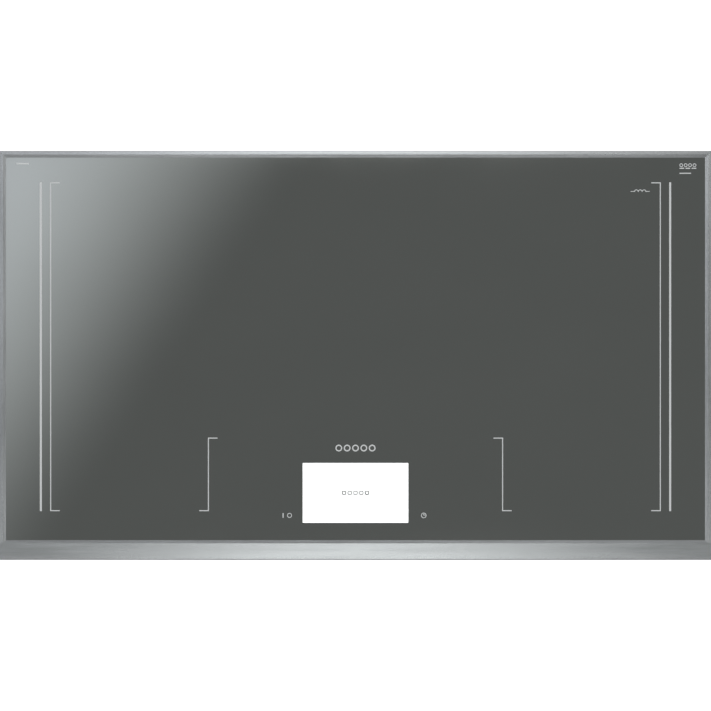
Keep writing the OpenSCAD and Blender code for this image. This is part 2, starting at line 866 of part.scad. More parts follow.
// The rail inside the right-hand panel
module glass_rail_right() {
    color("#c3c7c9") rotate([0, 0, -90]) glass_rail(in_y - rail_end_gap, in_x, side_screw_ys);
}

// ---- Housing ----

// A row of upright air slots through a wall across Y
module slot_row() {
    row_of(slot_count, [slot_pitch, 0, 0]) translate([0, 0, slot_h / 2]) {
        cube([slot_w, 4 * sheet_t, slot_h - slot_w], center = true);
        for (s = [-1, 1]) translate([0, 2 * sheet_t, s * (slot_h - slot_w) / 2])
            rotate([90, 0, 0]) cylinder(h = 4 * sheet_t, r = slot_w / 2);
    }
}

// The slots in the floor under one fan, as long as the fan's inlet is wide there
module fan_grille() {
    lanes = floor((fan_inlet_r - slot_w) / slot_pitch);
    for (i = [-lanes:lanes]) {
        half_l = sqrt(pow(fan_inlet_r, 2) - pow(i * slot_pitch, 2)) - slot_w / 2;
        translate([i * slot_pitch, 0, -epsilon]) {
            translate([-slot_w / 2, -half_l, 0]) cube([slot_w, 2 * half_l, 2 * sheet_t]);
            for (s = [-1, 1])
                translate([0, s * half_l, 0]) cylinder(h = 2 * sheet_t, r = slot_w / 2);
        }
    }
}

// The corner that the power lead's recess takes, grown by the thickness of its walls
module recess_space(wall) {
    block([recess_x - wall, recess_y - wall, -epsilon],
        [pan_x + epsilon, pan_y + epsilon, recess_h + wall]);
}

// The floor with the front and rear walls, from one folded sheet
module housing_base() {
    lip_in = cover_screw_inset * 2;
    color("#b4b8ba") difference() {
        union() {
            block([-in_x, -pan_y, 0], [in_x, pan_y, sheet_t]);
            block([-in_x, -pan_y, 0], [in_x, -in_y, pan_h]);
            block([-in_x, in_y, 0], [in_x, pan_y, pan_h]);
            block([recess_x - sheet_t, recess_y - sheet_t, 0],
                [in_x, pan_y, recess_h + sheet_t]);
            block([well_x0 - sheet_t, well_y0 - sheet_t, 0],
                [well_x1 + sheet_t, well_y1 + sheet_t, cover_well + sheet_t]);
        }
        recess_space(0);
        block([well_x0, well_y0, -epsilon], [well_x1, well_y1, cover_well]);
        block([cover_x0 + lip_in, cover_y0 + lip_in, 0],
            [cover_x1 - lip_in, cover_y1 - lip_in, 2 * cover_well + sheet_t]);
        both_sides() {
            translate([board_x + fan_x_offset, fan_y, 0]) fan_grille();
            translate([board_x, in_y, slot_z]) slot_row();
            fan_screw_places() screw_hole(-sheet_t, 2 * sheet_t);
        }
        board_screw_places() screw_hole(-sheet_t, 2 * sheet_t);
        for (p = wall_screws_front)
            bar_y([p.x, 0, p.y], screw_r + hole_gap, -pan_y - sheet_t, -in_y + sheet_t);
        for (p = wall_screws_rear)
            bar_y([p.x, 0, p.y], screw_r + hole_gap, in_y - sheet_t, pan_y + sheet_t);
        for (p = cover_screws) translate(p) screw_hole(0, pan_h);
        bar_y([gland_x, 0, gland_z], gland_thread_r + hole_gap, recess_y - 2 * sheet_t,
            recess_y + sheet_t);
    }
}

// A side panel on the right: a wall with folds along its foot, its front and its rear
module side_panel() {
    block([in_x, -pan_y, 0], [pan_x, pan_y, pan_h]);
    block([in_x - fold_w, -in_y + sheet_t, sheet_t], [in_x, in_y - sheet_t, 2 * sheet_t]);
    block([in_x - fold_w, -in_y, sheet_t], [in_x, -in_y + sheet_t, fold_top]);
    block([in_x - fold_w, in_y - sheet_t, sheet_t], [in_x, in_y, fold_top]);
}

// Holes in a side panel on the right for the rail, bracket and fold screws
module side_panel_holes(rear_low_z) {
    for (y = side_screw_ys)
        bar_x([0, y, screw_z], screw_r + hole_gap, in_x - sheet_t, pan_x + sheet_t);
    for (y = bracket_screw_ys)
        bar_x([0, y, bracket_screw_z], screw_r + hole_gap, in_x - sheet_t, pan_x + sheet_t);
    for (z = [corner_low_z, corner_high_z])
        bar_y([corner_x, 0, z], screw_r + hole_gap, -pan_y - sheet_t, -in_y + 2 * sheet_t);
    for (z = [rear_low_z, corner_high_z])
        bar_y([corner_x, 0, z], screw_r + hole_gap, in_y - 2 * sheet_t, pan_y + sheet_t);
}

// The left-hand panel
module side_panel_left() {
    color("#a9adaf") mirror([1, 0, 0]) difference() {
        side_panel();
        side_panel_holes(corner_low_z);
    }
}

// The right-hand panel, open at the lead's recess
module side_panel_right() {
    color("#a9adaf") difference() {
        side_panel();
        side_panel_holes(recess_corner_z);
        recess_space(0);
        intersection() {
            recess_space(sheet_t);
            translate([0, 0, -epsilon]) cube([in_x, pan_y, 2 * pan_h]);
        }
        for (y = block_screw_ys)
            bar_x([0, y, block_screw_z], screw_r + hole_gap, in_x - sheet_t, pan_x + sheet_t);
    }
}

// The plate that covers the way to the terminal block, flush with the floor
module access_cover() {
    color("#9da1a3") difference() {
        block([cover_x0, cover_y0, cover_well - cover_t], [cover_x1, cover_y1, cover_well]);
        for (p = cover_screws) translate(p) screw_hole(0, 2 * cover_well);
    }
}

// The block that clamps the power lead, with a brass clamp in every chamber
module terminal_block() {
    chamber = block_pitch - block_wall;
    color("#d8d4c4") difference() {
        union() {
            block([in_x - block_w, block_y0, block_z], [in_x, block_y1, block_z + block_h]);
            block([in_x - block_flange_t, block_y0, block_z + block_h],
                [in_x, block_y1, block_z + block_h + block_flange_h]);
        }
        for (i = [0:block_ways - 1])
            translate([in_x - block_w, block_y0 + block_wall + i * block_pitch, block_z])
                block([-epsilon, 0, -epsilon],
                    [block_w - block_back, chamber, block_h - block_back]);
        for (y = block_screw_ys)
            bar_x([0, y, block_screw_z], screw_r, in_x - block_w - 1, in_x + 1);
    }
    color("#c9a24a") for (i = [0:block_ways - 1])
        translate([in_x - block_w, block_y0 + block_wall + i * block_pitch, block_z])
            difference() {
                block([clamp_inset, clamp_side, block_h - block_back - clamp_h],
                    [block_w - block_back, chamber - clamp_side, block_h - block_back]);
                translate([block_w / 2, chamber / 2, 0])
                    cylinder(h = block_h - block_back - block_wall, r = screw_r);
            }
}

// The gland for the power lead's conduit, with a six-sided collar
module conduit_gland() {
    color("#c8ccce") difference() {
        union() {
            bar_y([gland_x, 0, gland_z], gland_thread_r, recess_y - gland_in, recess_y);
            translate([gland_x, recess_y, gland_z]) rotate([-90, 0, 0])
                cylinder(h = gland_collar, r = gland_hex_r, $fn = 6);
            bar_y([gland_x, 0, gland_z], gland_thread_r, recess_y, recess_y + gland_out);
        }
        bar_y([gland_x, 0, gland_z], conduit_r, recess_y - gland_in - 1,
            recess_y + gland_out + 1);
    }
}

// The nut that holds the gland inside the recess's wall
module gland_locknut() {
    color("#c8ccce") difference() {
        translate([gland_x, recess_y - sheet_t, gland_z]) rotate([90, 0, 0])
            cylinder(h = locknut_t, r = gland_hex_r, $fn = 6);
        bar_y([gland_x, 0, gland_z], gland_thread_r, recess_y - sheet_t - locknut_t - 1,
            recess_y);
    }
}

// ---- Inductors and their trays ----

// The four channels that cross the housing under the trays
module tray_bridges() {
    color("#b9bdbf") for (x = bridge_xs) difference() {
        union() {
            block([x - bridge_w / 2, -in_y, bridge_z - bridge_t],
                [x + bridge_w / 2, in_y, bridge_z]);
            for (s = [-1, 1]) {
                translate([x + s * (bridge_w - bridge_t) / 2, 0, 0])
                    block([-bridge_t / 2, -in_y, bridge_bottom],
                        [bridge_t / 2, in_y, bridge_z - bridge_t]);
                translate([x, s * (in_y - bridge_t / 2), 0])
                    block([-bridge_w / 2, -bridge_t / 2, bridge_bottom - bridge_tab],
                        [bridge_w / 2, bridge_t / 2, bridge_z - bridge_t]);
            }
        }
        bar_y([x, 0, bridge_screw_z], screw_r + hole_gap, -pan_y, pan_y);
    }
}

// The outline of the zone that the inductors fill, grown by a margin
module zone_outline(margin) {
    x = tray_x + margin;
    y0 = tray_y0("front") - margin;
    y1 = tray_y1("rear") + margin;
    polygon([
        [-x, y0], [-leg_x + margin, y0], [-leg_x + margin, strip_y0 - margin],
        [leg_x - margin, strip_y0 - margin], [leg_x - margin, y0], [x, y0], [x, y1], [-x, y1]
    ]);
}

// The fibre mat that keeps the plate's heat off the inductors, with sensor holes
module insulation_mat() {
    color("#e6e2d6") translate([0, 0, mat_z]) linear_extrude(mat_t) difference() {
        zone_outline(mat_margin);
        for (row = [0:rows - 1], p = row_places(row)) translate(p) circle(sensor_bore_r);
    }
}

// A tray's turned-down edge along X
module tray_fold_strip(x0, x1, y) {
    block([x0, y, tray_z + tray_t - tray_fold], [x1, y + tray_t, tray_z]);
}

// A tray across the whole width
module full_tray(tray) {
    y0 = tray_y0(tray);
    y1 = tray_y1(tray);
    block([-tray_x, y0, tray_z], [tray_x, y1, tray_z + tray_t]);
    tray_fold_strip(-tray_x, tray_x, y0);
    tray_fold_strip(-tray_x, tray_x, y1 - tray_t);
}

// The rear inductors' tray
module tray_rear() {
    color("#cfd3d5") full_tray("rear");
}

// The middle inductors' tray
module tray_middle() {
    color("#cfd3d5") full_tray("middle");
}

// The front inductors' tray: two legs beside the display, joined by a strip
module tray_front() {
    y0 = tray_y0("front");
    y1 = tray_y1("front");
    color("#cfd3d5") {
        translate([0, 0, tray_z]) linear_extrude(tray_t) polygon([
            [-tray_x, y0], [-leg_x, y0], [-leg_x, strip_y0], [leg_x, strip_y0],
            [leg_x, y0], [tray_x, y0], [tray_x, y1], [-tray_x, y1]
        ]);
        tray_fold_strip(-tray_x, tray_x, y1 - tray_t);
        both_sides() tray_fold_strip(leg_x, tray_x, y0);
        tray_fold_strip(-leg_x, leg_x, strip_y0);
    }
}

// One inductor's moulded carrier: a base, a hub, a plate and posts between the ferrites
module carrier() {
    post_r = coil_d / 2 - ferrite_end_gap;
    rotate_extrude() polygon([
        [sensor_bore_r, carrier_z], [coil_d / 2, carrier_z],
        [coil_d / 2, carrier_z + carrier_base_t], [hub_r, carrier_z + carrier_base_t],
        [hub_r, plate_z], [coil_d / 2, plate_z], [coil_d / 2, winding_z],
        [hub_r, winding_z], [hub_r, coil_top], [sensor_bore_r, coil_top]
    ]);
    for (i = [0:ferrite_spokes - 1])
        rotate([0, 0, (i + 0.5) * 360 / ferrite_spokes])
            block([post_r - rim_post_t, -rim_post_w / 2, carrier_z + carrier_base_t],
                [post_r, rim_post_w / 2, plate_z]);
}

// Copies of one inductor piece at every place of a tray
module at_places(tray) {
    for (p = tray_places(tray)) translate(p) children();
}

// The carriers of the three trays
module coil_carriers_rear() {
    color("#3b3a38") at_places("rear") carrier();
}
module coil_carriers_middle() {
    color("#3b3a38") at_places("middle") carrier();
}
module coil_carriers_front() {
    color("#3b3a38") at_places("front") carrier();
}

// One flat winding of copper strand, with a groove between its turns
module winding() {
    r0 = hub_r + winding_gap;
    r1 = coil_d / 2 - winding_gap;
    turn = (r1 - r0) / winding_turns;
    rotate_extrude() difference() {
        translate([r0, winding_z]) square([r1 - r0, winding_t]);
        for (i = [1:winding_turns - 1])
            translate([r0 + i * turn - groove / 2, coil_top - groove])
                square([groove, 2 * groove]);
    }
}

// The windings of the three trays
module copper_windings_rear() {
    color("#b87333") at_places("rear") winding();
}
module copper_windings_middle() {
    color("#b87333") at_places("middle") winding();
}
module copper_windings_front() {
    color("#b87333") at_places("front") winding();
}

// The ferrite bars under one winding, like spokes
module ferrite_star() {
    for (i = [0:ferrite_spokes - 1])
        rotate([0, 0, i * 360 / ferrite_spokes])
            block([hub_r + ferrite_bar_w, -ferrite_bar_w / 2, ferrite_z],
                [coil_d / 2 - ferrite_end_gap, ferrite_bar_w / 2, ferrite_z + ferrite_t]);
}

// The ferrites of the three trays
module ferrites_rear() {
    color("#2f2f33") at_places("rear") ferrite_star();
}
module ferrites_middle() {
    color("#2f2f33") at_places("middle") ferrite_star();
}
module ferrites_front() {
    color("#2f2f33") at_places("front") ferrite_star();
}

// One temperature sensor: a foot, a stem and the button that faces the plate
module sensor() {
    foot_top = carrier_z + sensor_foot_h;
    top = glass_z0 - sensor_gap;
    button_z = top - sensor_button_h;
    r = sensor_bore_r - sensor_play;
    rotate_extrude() polygon([
        [0, carrier_z], [r, carrier_z], [r, foot_top], [r / 2, foot_top],
        [r / 2, button_z], [r, button_z], [r, top], [0, top]
    ]);
}

// The sensors of the three trays
module sensors_rear() {
    color("#d6c9a4") at_places("rear") sensor();
}
module sensors_middle() {
    color("#d6c9a4") at_places("middle") sensor();
}
module sensors_front() {
    color("#d6c9a4") at_places("front") sensor();
}

// A leaf spring's bow along Y: a raised cosine between two flat feet
module leaf_spring() {
    rise = spring_h - spring_t - spring_clearance;
    steps = 16;
    arc = [for (i = [0:steps])
        [-spring_span / 2 + spring_span * i / steps,
            rise * (1 - cos(360 * i / steps)) / 2]];
    foot = spring_span / 2 + spring_foot;
    low = concat([[-foot, 0]], arc, [[foot, 0]]);
    high = [for (i = [len(low) - 1:-1:0]) [low[i].x, low[i].y + spring_t]];
    translate([-spring_w / 2, 0, bridge_z]) rotate([90, 0, 90])
        linear_extrude(spring_w) polygon(concat(low, high));
}

// The four springs under one tray
module tray_springs(tray) {
    for (x = bridge_xs) translate([x, spring_y(tray, x), 0]) leaf_spring();
}

// The springs of the three trays
module tray_springs_rear() {
    color("#8d9193") tray_springs("rear");
}
module tray_springs_middle() {
    color("#8d9193") tray_springs("middle");
}
module tray_springs_front() {
    color("#8d9193") tray_springs("front");
}

// ---- Display ----

// The lit panel under the plate's clear window
module display_screen() {
    color("#ffffff") translate([0, screen_y, 0])
        block([-screen_w / 2, -screen_d / 2, screen_z],
            [screen_w / 2, screen_d / 2, screen_z + screen_t]);
}

// The moulded tray round the panel, with a wing for each touch key and four legs
module display_frame() {
    inner = [screen_w / 2 + screen_gap, screen_d / 2 + screen_gap];
    outer = [screen_w / 2 + screen_border, screen_d / 2 + screen_border];
    leg = screen_border - screen_gap;
    color("#303234") translate([0, screen_y, 0]) {
        difference() {
            block([-outer.x, -outer.y, screen_z - frame_floor_t],
                [outer.x, outer.y, screen_z + screen_t]);
            block([-inner.x, -inner.y, screen_z], [inner.x, inner.y, glass_z0]);
        }
        for (sx = [-1, 1], sy = [-1, 1])
            translate([sx * (outer.x - leg / 2), sy * (outer.y - leg / 2), 0])
                block([-leg / 2, -leg / 2, support_z], [leg / 2, leg / 2, screen_z - frame_floor_t]);
        both_sides()
            block([outer.x, -key_wing_d / 2, screen_z - frame_floor_t],
                [key_x + key_r + frame_floor_t, key_wing_d / 2, screen_z]);
    }
}

// The sheet platform on the two inner bridges, screwed to the front wall
module display_support() {
    reach = bridge_inner_x + bridge_w / 2;
    flange_x = bridge_inner_x - bridge_w / 2 - 2 * support_t;
    color("#b9bdbf") difference() {
        union() {
            block([-reach, -in_y, bridge_z], [reach, support_y1, support_z]);
            block([-flange_x, -in_y, bridge_bottom - bridge_tab],
                [flange_x, -in_y + support_t, bridge_z]);
        }
        for (x = support_screw_xs)
            bar_y([x, 0, bridge_screw_z], screw_r + hole_gap, -pan_y, -in_y + 2 * support_t);
    }
}

// The controller's board, on four spacers above the platform, with its chips
module control_board() {
    half = [screen_w / 2 - control_inset, screen_d / 2 - standoff_r];
    board = support_z + control_lift;
    color("#2f7a4b") translate([0, screen_y, 0])
        block([-half.x, -half.y, board], [half.x, half.y, board + board_t]);
    color("#c0c4c6") translate([0, screen_y, 0])
        for (sx = [-1, 1], sy = [-1, 1])
            translate([sx * (half.x - 2 * standoff_r), sy * (half.y - 2 * standoff_r), support_z])
                cylinder(h = control_lift, r = standoff_r);
    color("#26282a") translate([0, screen_y, control_z])
        row_of(chips, [chip_pitch, 0, 0]) cased_part(chip_size);
}

// The conductive pads under the two touch keys
module touch_keys() {
    color("#4a4c50") both_sides() translate([key_x, screen_y, screen_z])
        cylinder(h = glass_z0 - key_gap - screen_z, r = key_r);
}

// ---- Electronics ----

// Children at every screw of the three boards
module board_screw_places() {
    both_sides() for (x = board_screw_xs, y = board_screw_ys) translate([x, y, 0]) children();
    for (x = filter_screw_xs, y = filter_screw_ys) translate([x, y, 0]) children();
}

// One inverter board in each half
module power_boards() {
    color("#2f7a4b") difference() {
        both_sides() translate([board_x, board_y, 0])
            block([-board_w / 2, -board_l / 2, board_z], [board_w / 2, board_l / 2, board_top]);
        board_screw_places() screw_hole(0, 2 * board_top);
    }
}

// The board that filters the mains, between the inverter boards
module filter_board() {
    color("#2f7a4b") difference() {
        block([-filter_x, filter_y1 - filter_d, board_z], [filter_x, filter_y1, board_top]);
        board_screw_places() screw_hole(0, 2 * board_top);
    }
}

// The pillars that hold the three boards clear of the floor
module board_standoffs() {
    color("#d0d2d0") board_screw_places() difference() {
        translate([0, 0, sheet_t]) cylinder(h = board_lift, r = standoff_r);
        screw_hole(0, board_top);
    }
}

// The finned heat sink over each inverter board's transistors
module heat_sinks() {
    pitch = (sink_w - fin_t) / (fin_count - 1);
    color("#c6cacc") both_sides()
        translate([board_x + sink_x_offset, board_y, board_top + sink_lift]) {
            block([-sink_w / 2, -sink_l / 2, 0], [sink_w / 2, sink_l / 2, sink_base]);
            for (i = [0:fin_count - 1])
                translate([-sink_w / 2 + i * pitch, -sink_l / 2, 0])
                    cube([fin_t, sink_l, sink_top - board_top - sink_lift]);
        }
}

// A wound ring choke that lies on a board
module choke() {
    rotate_extrude() translate([choke_r / 2, 0]) square([choke_r / 2, choke_h]);
}

// What stands on one inverter board, right of the middle
module inverter_parts() {
    left = board_x - board_w / 2;
    right = board_x + board_w / 2;
    color("#26282a") translate([board_x + sink_x_offset, board_y, board_top])
        row_of(transistors, [0, sink_l / transistors, 0]) cased_part(transistor_size);
    color("#2a3f6b") translate([left + capacitor_inset, board_y - parts_forward, board_top])
        row_of(capacitors, [0, capacitor_pitch, 0])
            cylinder(h = capacitor_h, r = capacitor_r);
    color("#b8452f") translate([left + film_inset, board_y - parts_forward, board_top])
        row_of(films, [0, film_pitch, 0]) cased_part(film_size);
    color("#d8d4c4") translate([right - plug_inset, board_y, board_top])
        row_of(plugs, [0, plug_pitch, 0]) cased_part(plug_size);
}

// What stands on the boards: transistors, capacitors, plugs, chokes and relays
module board_components() {
    both_sides() inverter_parts();
    color("#7a4a25") translate([-choke_shift, filter_y1 - choke_row, board_top])
        row_of(chokes, [choke_pitch, 0, 0]) choke();
    color("#c9a24a") translate([-choke_shift, filter_y1 - relay_row, board_top])
        row_of(relays, [relay_pitch, 0, 0]) cased_part(relay_size);
}

// A run of round wire through a list of points, with a ball at every bend
module wire(points, r) {
    for (i = [0:len(points) - 2]) {
        step = points[i + 1] - points[i];
        length = norm(step);
        translate(points[i]) rotate([0, acos(step.z / length), atan2(step.y, step.x)])
            cylinder(h = length, r = r, $fn = 24);
    }
    for (i = [1:1:len(points) - 2]) translate(points[i]) sphere(r, $fn = 24);
}

// The two mains wires: from the block, under the inverter board, up to the filter board
module mains_wires() {
    clamp_z = block_z + block_h / 2 + wire_r;
    floor_z = sheet_t + board_lift / 2;
    drop_x = well_x0 - sheet_t - 1.5 * wire_r;
    for (i = [block_ways - 2, block_ways - 1]) {
        y = block_y0 + (i + 0.5) * block_pitch + block_wall / 2;
        wire([
            [in_x - block_w + clamp_inset, y, clamp_z],
            [drop_x, y, clamp_z],
            [drop_x, y, floor_z],
            [filter_x - wire_inset, y, floor_z],
            [filter_x - wire_inset, y, board_z]
        ], wire_r);
    }
}

// The links from the filter board to the inverter boards, side by side
module link_wires() {
    link_z = board_top + 6 * wire_r;
    pitch = 4 * wire_r;
    both_sides() for (i = [0:1]) {
        y0 = filter_y1 - filter_d / 2 - i * pitch;
        y1 = min(y0, board_y + board_l / 2 - wire_inset - i * pitch);
        x1 = board_x - board_w / 2 + wire_inset;
        wire([
            [filter_x - wire_inset, y0, board_top], [filter_x - wire_inset, y0, link_z],
            [x1, y1, link_z], [x1, y1, board_top]
        ], wire_r);
    }
}

// The controller's lead, behind the display's platform and down to the filter board
module control_lead() {
    x = control_lead_x;
    high_z = control_z + 2 * wire_r;
    low_z = board_top + 4 * wire_r;
    front_y = screen_y + screen_d / 2 - wire_inset;
    drop_y = support_y1 + 1.5 * wire_r;
    end_y = filter_y1 - filter_d + wire_inset;
    wire([
        [x, front_y, control_z], [x, front_y, high_z], [x, drop_y, high_z],
        [x, drop_y, low_z], [x, end_y, low_z], [x, end_y, board_top]
    ], wire_r);
}

// The wires inside the housing
module mains_wiring() {
    color("#3a3a3c") {
        mains_wires();
        link_wires();
    }
    color("#c9ccce") control_lead();
}

// The spiral outline of a fan's case, with its outlet towards the heat sink
module volute(inset, reach) {
    start = acos((outlet_x0 + inset) / (scroll_r0 - inset));
    steps = 36;
    spiral = [for (i = [0:steps])
        let (a = start + (360 - start) * i / steps,
            r = scroll_r0 - inset + (scroll_r1 - scroll_r0) * i / steps)
        [r * cos(a), r * sin(a)]];
    polygon(concat(spiral,
        [[scroll_r1 - inset, outlet_y + reach], [outlet_x0 + inset, outlet_y + reach]]));
}

// Children at the three screw lugs of the right-hand fan
module fan_screw_places() {
    for (a = fan_lug_angles)
        translate([board_x + fan_x_offset, fan_y, 0]) rotate([0, 0, a])
            translate([lug_reach, 0, 0]) children();
}

// The right-hand fan's case, with the stator that stands in its rotor
module fan_case() {
    color("#34373a") {
        translate([board_x + fan_x_offset, fan_y, fan_z]) {
            difference() {
                linear_extrude(fan_h) volute(0, 0);
                translate([0, 0, fan_wall])
                    linear_extrude(fan_h - 2 * fan_wall) volute(fan_wall, 1);
                translate([0, 0, -1]) cylinder(h = 2 * fan_wall + 1, r = fan_inlet_r);
            }
            translate([0, 0, stator_z]) difference() {
                cylinder(h = fan_h - fan_wall - stator_z, r = stator_r);
                translate([0, 0, -1])
                    cylinder(h = bush_top - stator_z + 1, r = shaft_r + running_gap);
            }
        }
        fan_screw_places() difference() {
            translate([0, 0, sheet_t]) union() {
                cylinder(h = lug_h, r = head_r + fan_wall);
                translate([scroll_r0 - lug_reach, -head_r, 0])
                    cube([lug_reach - scroll_r0, 2 * head_r, lug_h]);
            }
            screw_hole(0, 2 * lug_h);
        }
    }
}

// The left-hand fan's case
module fan_case_left() {
    mirror([1, 0, 0]) fan_case();
}

// The right-hand fan's case
module fan_case_right() {
    fan_case();
}

// One forward-curved blade in plan
module blade_outline() {
    steps = 5;
    half_t = blade_t / 2;
    r0 = rotor_r - blade_chord;
    r1 = rotor_r - blade_t / 2;
    line = [for (i = [0:steps]) [r0 + (r1 - r0) * i / steps, blade_sweep * pow(i / steps, 2)]];
    function at(p, side) =
        let (a = p[1] + side * half_t / p[0] * 180 / PI) [p[0] * cos(a), p[0] * sin(a)];
    polygon(concat([for (p = line) at(p, -1)],
        [for (i = [steps:-1:0]) at(line[i], 1)]));
}

// A fan's rotor: a cup over the stator, a plate, blades, a shroud and the shaft
module fan_rotor() {
    top = fan_h - 2 * fan_wall;
    translate([board_x + fan_x_offset, fan_y, fan_z]) {
        color("#55595c") {
            rotate_extrude() polygon([
                [0, rotor_cup_z], [rotor_cup_r, rotor_cup_z], [rotor_cup_r, top - rotor_wall],
                [rotor_r, top - rotor_wall], [rotor_r, top],
                [rotor_cup_r - rotor_wall, top],
                [rotor_cup_r - rotor_wall, rotor_cup_z + rotor_wall],
                [0, rotor_cup_z + rotor_wall]
            ]);
            for (i = [0:blade_count - 1])
                rotate([0, 0, i * 360 / blade_count]) translate([0, 0, shroud_z])
                    linear_extrude(top - rotor_wall - shroud_z) blade_outline();
            translate([0, 0, shroud_z]) rotate_extrude()
                translate([rotor_r - shroud_w, 0]) square([shroud_w, shroud_t]);
        }
        color("#c8ccce") translate([0, 0, rotor_cup_z + rotor_wall])
            cylinder(h = shaft_top - rotor_cup_z - rotor_wall, r = shaft_r);
    }
}

// The left-hand rotor
module fan_rotor_left() {
    mirror([1, 0, 0]) fan_rotor();
}

// The right-hand rotor
module fan_rotor_right() {
    fan_rotor();
}

// ---- Hold-downs and screws ----

// The brackets outside the two side panels, each with an arm for its clamp screw
module hold_down_brackets() {
    arm_x = clamp_x + 4 * clamp_r;
    rib_h = bracket_h - 4 * bracket_t;
    color("#a5a9ab") both_sides() difference() {
        union() {
            block([pan_x, -bracket_w / 2, bracket_z - bracket_t],
                [pan_x + bracket_t, bracket_w / 2, bracket_z - bracket_t + bracket_h]);
            block([pan_x, -bracket_w / 2, bracket_z - bracket_t], [arm_x, bracket_w / 2, bracket_z]);
            for (s = [-1, 1])
                translate([pan_x + bracket_t, s * (bracket_w - bracket_t) / 2, bracket_z])
                    rotate([90, 0, 0]) translate([0, 0, -bracket_t / 2])
                        linear_extrude(bracket_t)
                            polygon([[0, 0], [arm_x - pan_x - bracket_t - 2, 0], [0, rib_h]]);
            translate([clamp_x, 0, bracket_z - clamp_boss]) cylinder(h = clamp_boss, r = 2 * clamp_r);
        }
        translate([clamp_x, 0, 0]) cylinder(h = body_h, r = clamp_r + running_gap);
        for (y = bracket_screw_ys)
            bar_x([0, y, bracket_screw_z], screw_r + hole_gap, pan_x - 1, pan_x + 2 * bracket_t);
    }
}

// The foot that presses up against the worktop, turned about the clamp screw
module clamp_foot() {
    translate([clamp_x, 0, 0]) rotate_extrude() polygon([
        [0, foot_z - foot_cap], [spigot_r + running_gap, foot_z - foot_cap],
        [spigot_r + running_gap, foot_z - foot_h], [foot_r, foot_z - foot_h],
        [foot_r, foot_z], [0, foot_z]
    ]);
}

// The left-hand foot
module clamp_foot_left() {
    color("#3a3c3e") mirror([1, 0, 0]) clamp_foot();
}

// The right-hand foot
module clamp_foot_right() {
    color("#3a3c3e") clamp_foot();
}

// A clamp screw with wings below and a spigot that turns in its foot
module clamp_screw() {
    thread_z = clamp_head_z + clamp_head_h;
    shoulder_z = foot_z - foot_h - foot_play;
    translate([clamp_x, 0, 0]) {
        translate([0, 0, thread_z]) cylinder(h = shoulder_z - thread_z, r = clamp_r);
        translate([0, 0, shoulder_z - spigot_r])
            cylinder(h = foot_z - foot_cap - foot_play - shoulder_z + spigot_r, r = spigot_r);
        translate([0, 0, clamp_head_z]) cylinder(h = clamp_head_h, r = 1.6 * clamp_r);
        for (s = [-1, 1])
            translate([0, s * clamp_wing / 2, clamp_head_z + clamp_head_h / 2])
                cube([clamp_wing_t, clamp_wing, clamp_head_h], center = true);
    }
}

// The left-hand clamp screw
module clamp_screw_left() {
    color("#b9bdbf") mirror([1, 0, 0]) clamp_screw();
}

// The right-hand clamp screw
module clamp_screw_right() {
    color("#b9bdbf") clamp_screw();
}

// A sheet-metal screw along +Z: its head below the origin, its shank above
module sheet_screw(shank) {
    translate([0, 0, -head_h]) difference() {
        cylinder(h = head_h, r = head_r);
        for (a = [0, 90]) rotate([0, 0, a]) translate([0, 0, cross_d / 2 - epsilon])
            cube([head_r, cross_d, cross_d], center = true);
    }
    cylinder(h = shank, r = screw_r);
}

// Every screw in the housing, the boards, the fans and the brackets
module housing_screws() {
    color("#c8ccce") {
        for (s = [-1, 1], y = side_screw_ys)
            translate([s * pan_x, y, screw_z]) rotate([0, -90 * s, 0]) sheet_screw(wall_shank);
        for (s = [-1, 1], y = bracket_screw_ys)
            translate([s * (pan_x + bracket_t), y, bracket_screw_z]) rotate([0, -90 * s, 0])
                sheet_screw(wall_shank);
        for (p = wall_screws_front)
            translate([p.x, -pan_y, p.y]) rotate([-90, 0, 0]) sheet_screw(wall_shank);
        for (p = wall_screws_rear)
            translate([p.x, pan_y, p.y]) rotate([90, 0, 0]) sheet_screw(wall_shank);
        for (p = cover_screws) translate([p.x, p.y, cover_well - cover_t])
            sheet_screw(cover_shank);
        for (y = block_screw_ys)
            translate([pan_x, y, block_screw_z]) rotate([0, -90, 0])
                sheet_screw(sheet_t + block_flange_t);
        both_sides() fan_screw_places() translate([0, 0, sheet_t + lug_h])
            rotate([180, 0, 0]) sheet_screw(lug_h + sheet_t / 2);
        board_screw_places() translate([0, 0, board_top]) rotate([180, 0, 0])
            sheet_screw(board_shank);
    }
}

glass_plate();
printed_markings();
trim_rear();
trim_front();
trim_left();
trim_right();
frame_adhesive();
worktop_gasket();
glass_rail_front();
glass_rail_rear();
glass_rail_left();
glass_rail_right();
housing_base();
side_panel_left();
side_panel_right();
access_cover();
terminal_block();
conduit_gland();
gland_locknut();
tray_bridges();
insulation_mat();
tray_rear();
tray_middle();
tray_front();
coil_carriers_rear();
coil_carriers_middle();
coil_carriers_front();
copper_windings_rear();
copper_windings_middle();
copper_windings_front();
ferrites_rear();
ferrites_middle();
ferrites_front();
sensors_rear();
sensors_middle();
sensors_front();
tray_springs_rear();
tray_springs_middle();
tray_springs_front();
display_screen();
display_frame();
display_support();
control_board();
touch_keys();
power_boards();
filter_board();
board_standoffs();
heat_sinks();
board_components();
mains_wiring();
fan_case_left();
fan_case_right();
fan_rotor_left();
fan_rotor_right();
hold_down_brackets();
clamp_foot_left();
clamp_foot_right();
clamp_screw_left();
clamp_screw_right();
housing_screws();
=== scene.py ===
# %% [markdown]
# # A built-in induction cooktop
# The cooktop is one dark glass plate in a brushed steel frame. Under the plate a sheet-steel housing holds
# the coils, the electronics and the fans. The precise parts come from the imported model. This lesson gives
# them finishes, and rebuilds the parts whose looks need more: the plate, the four rails, the lit display,
# the leaf springs and the pressed details of the housing.

import json
import math

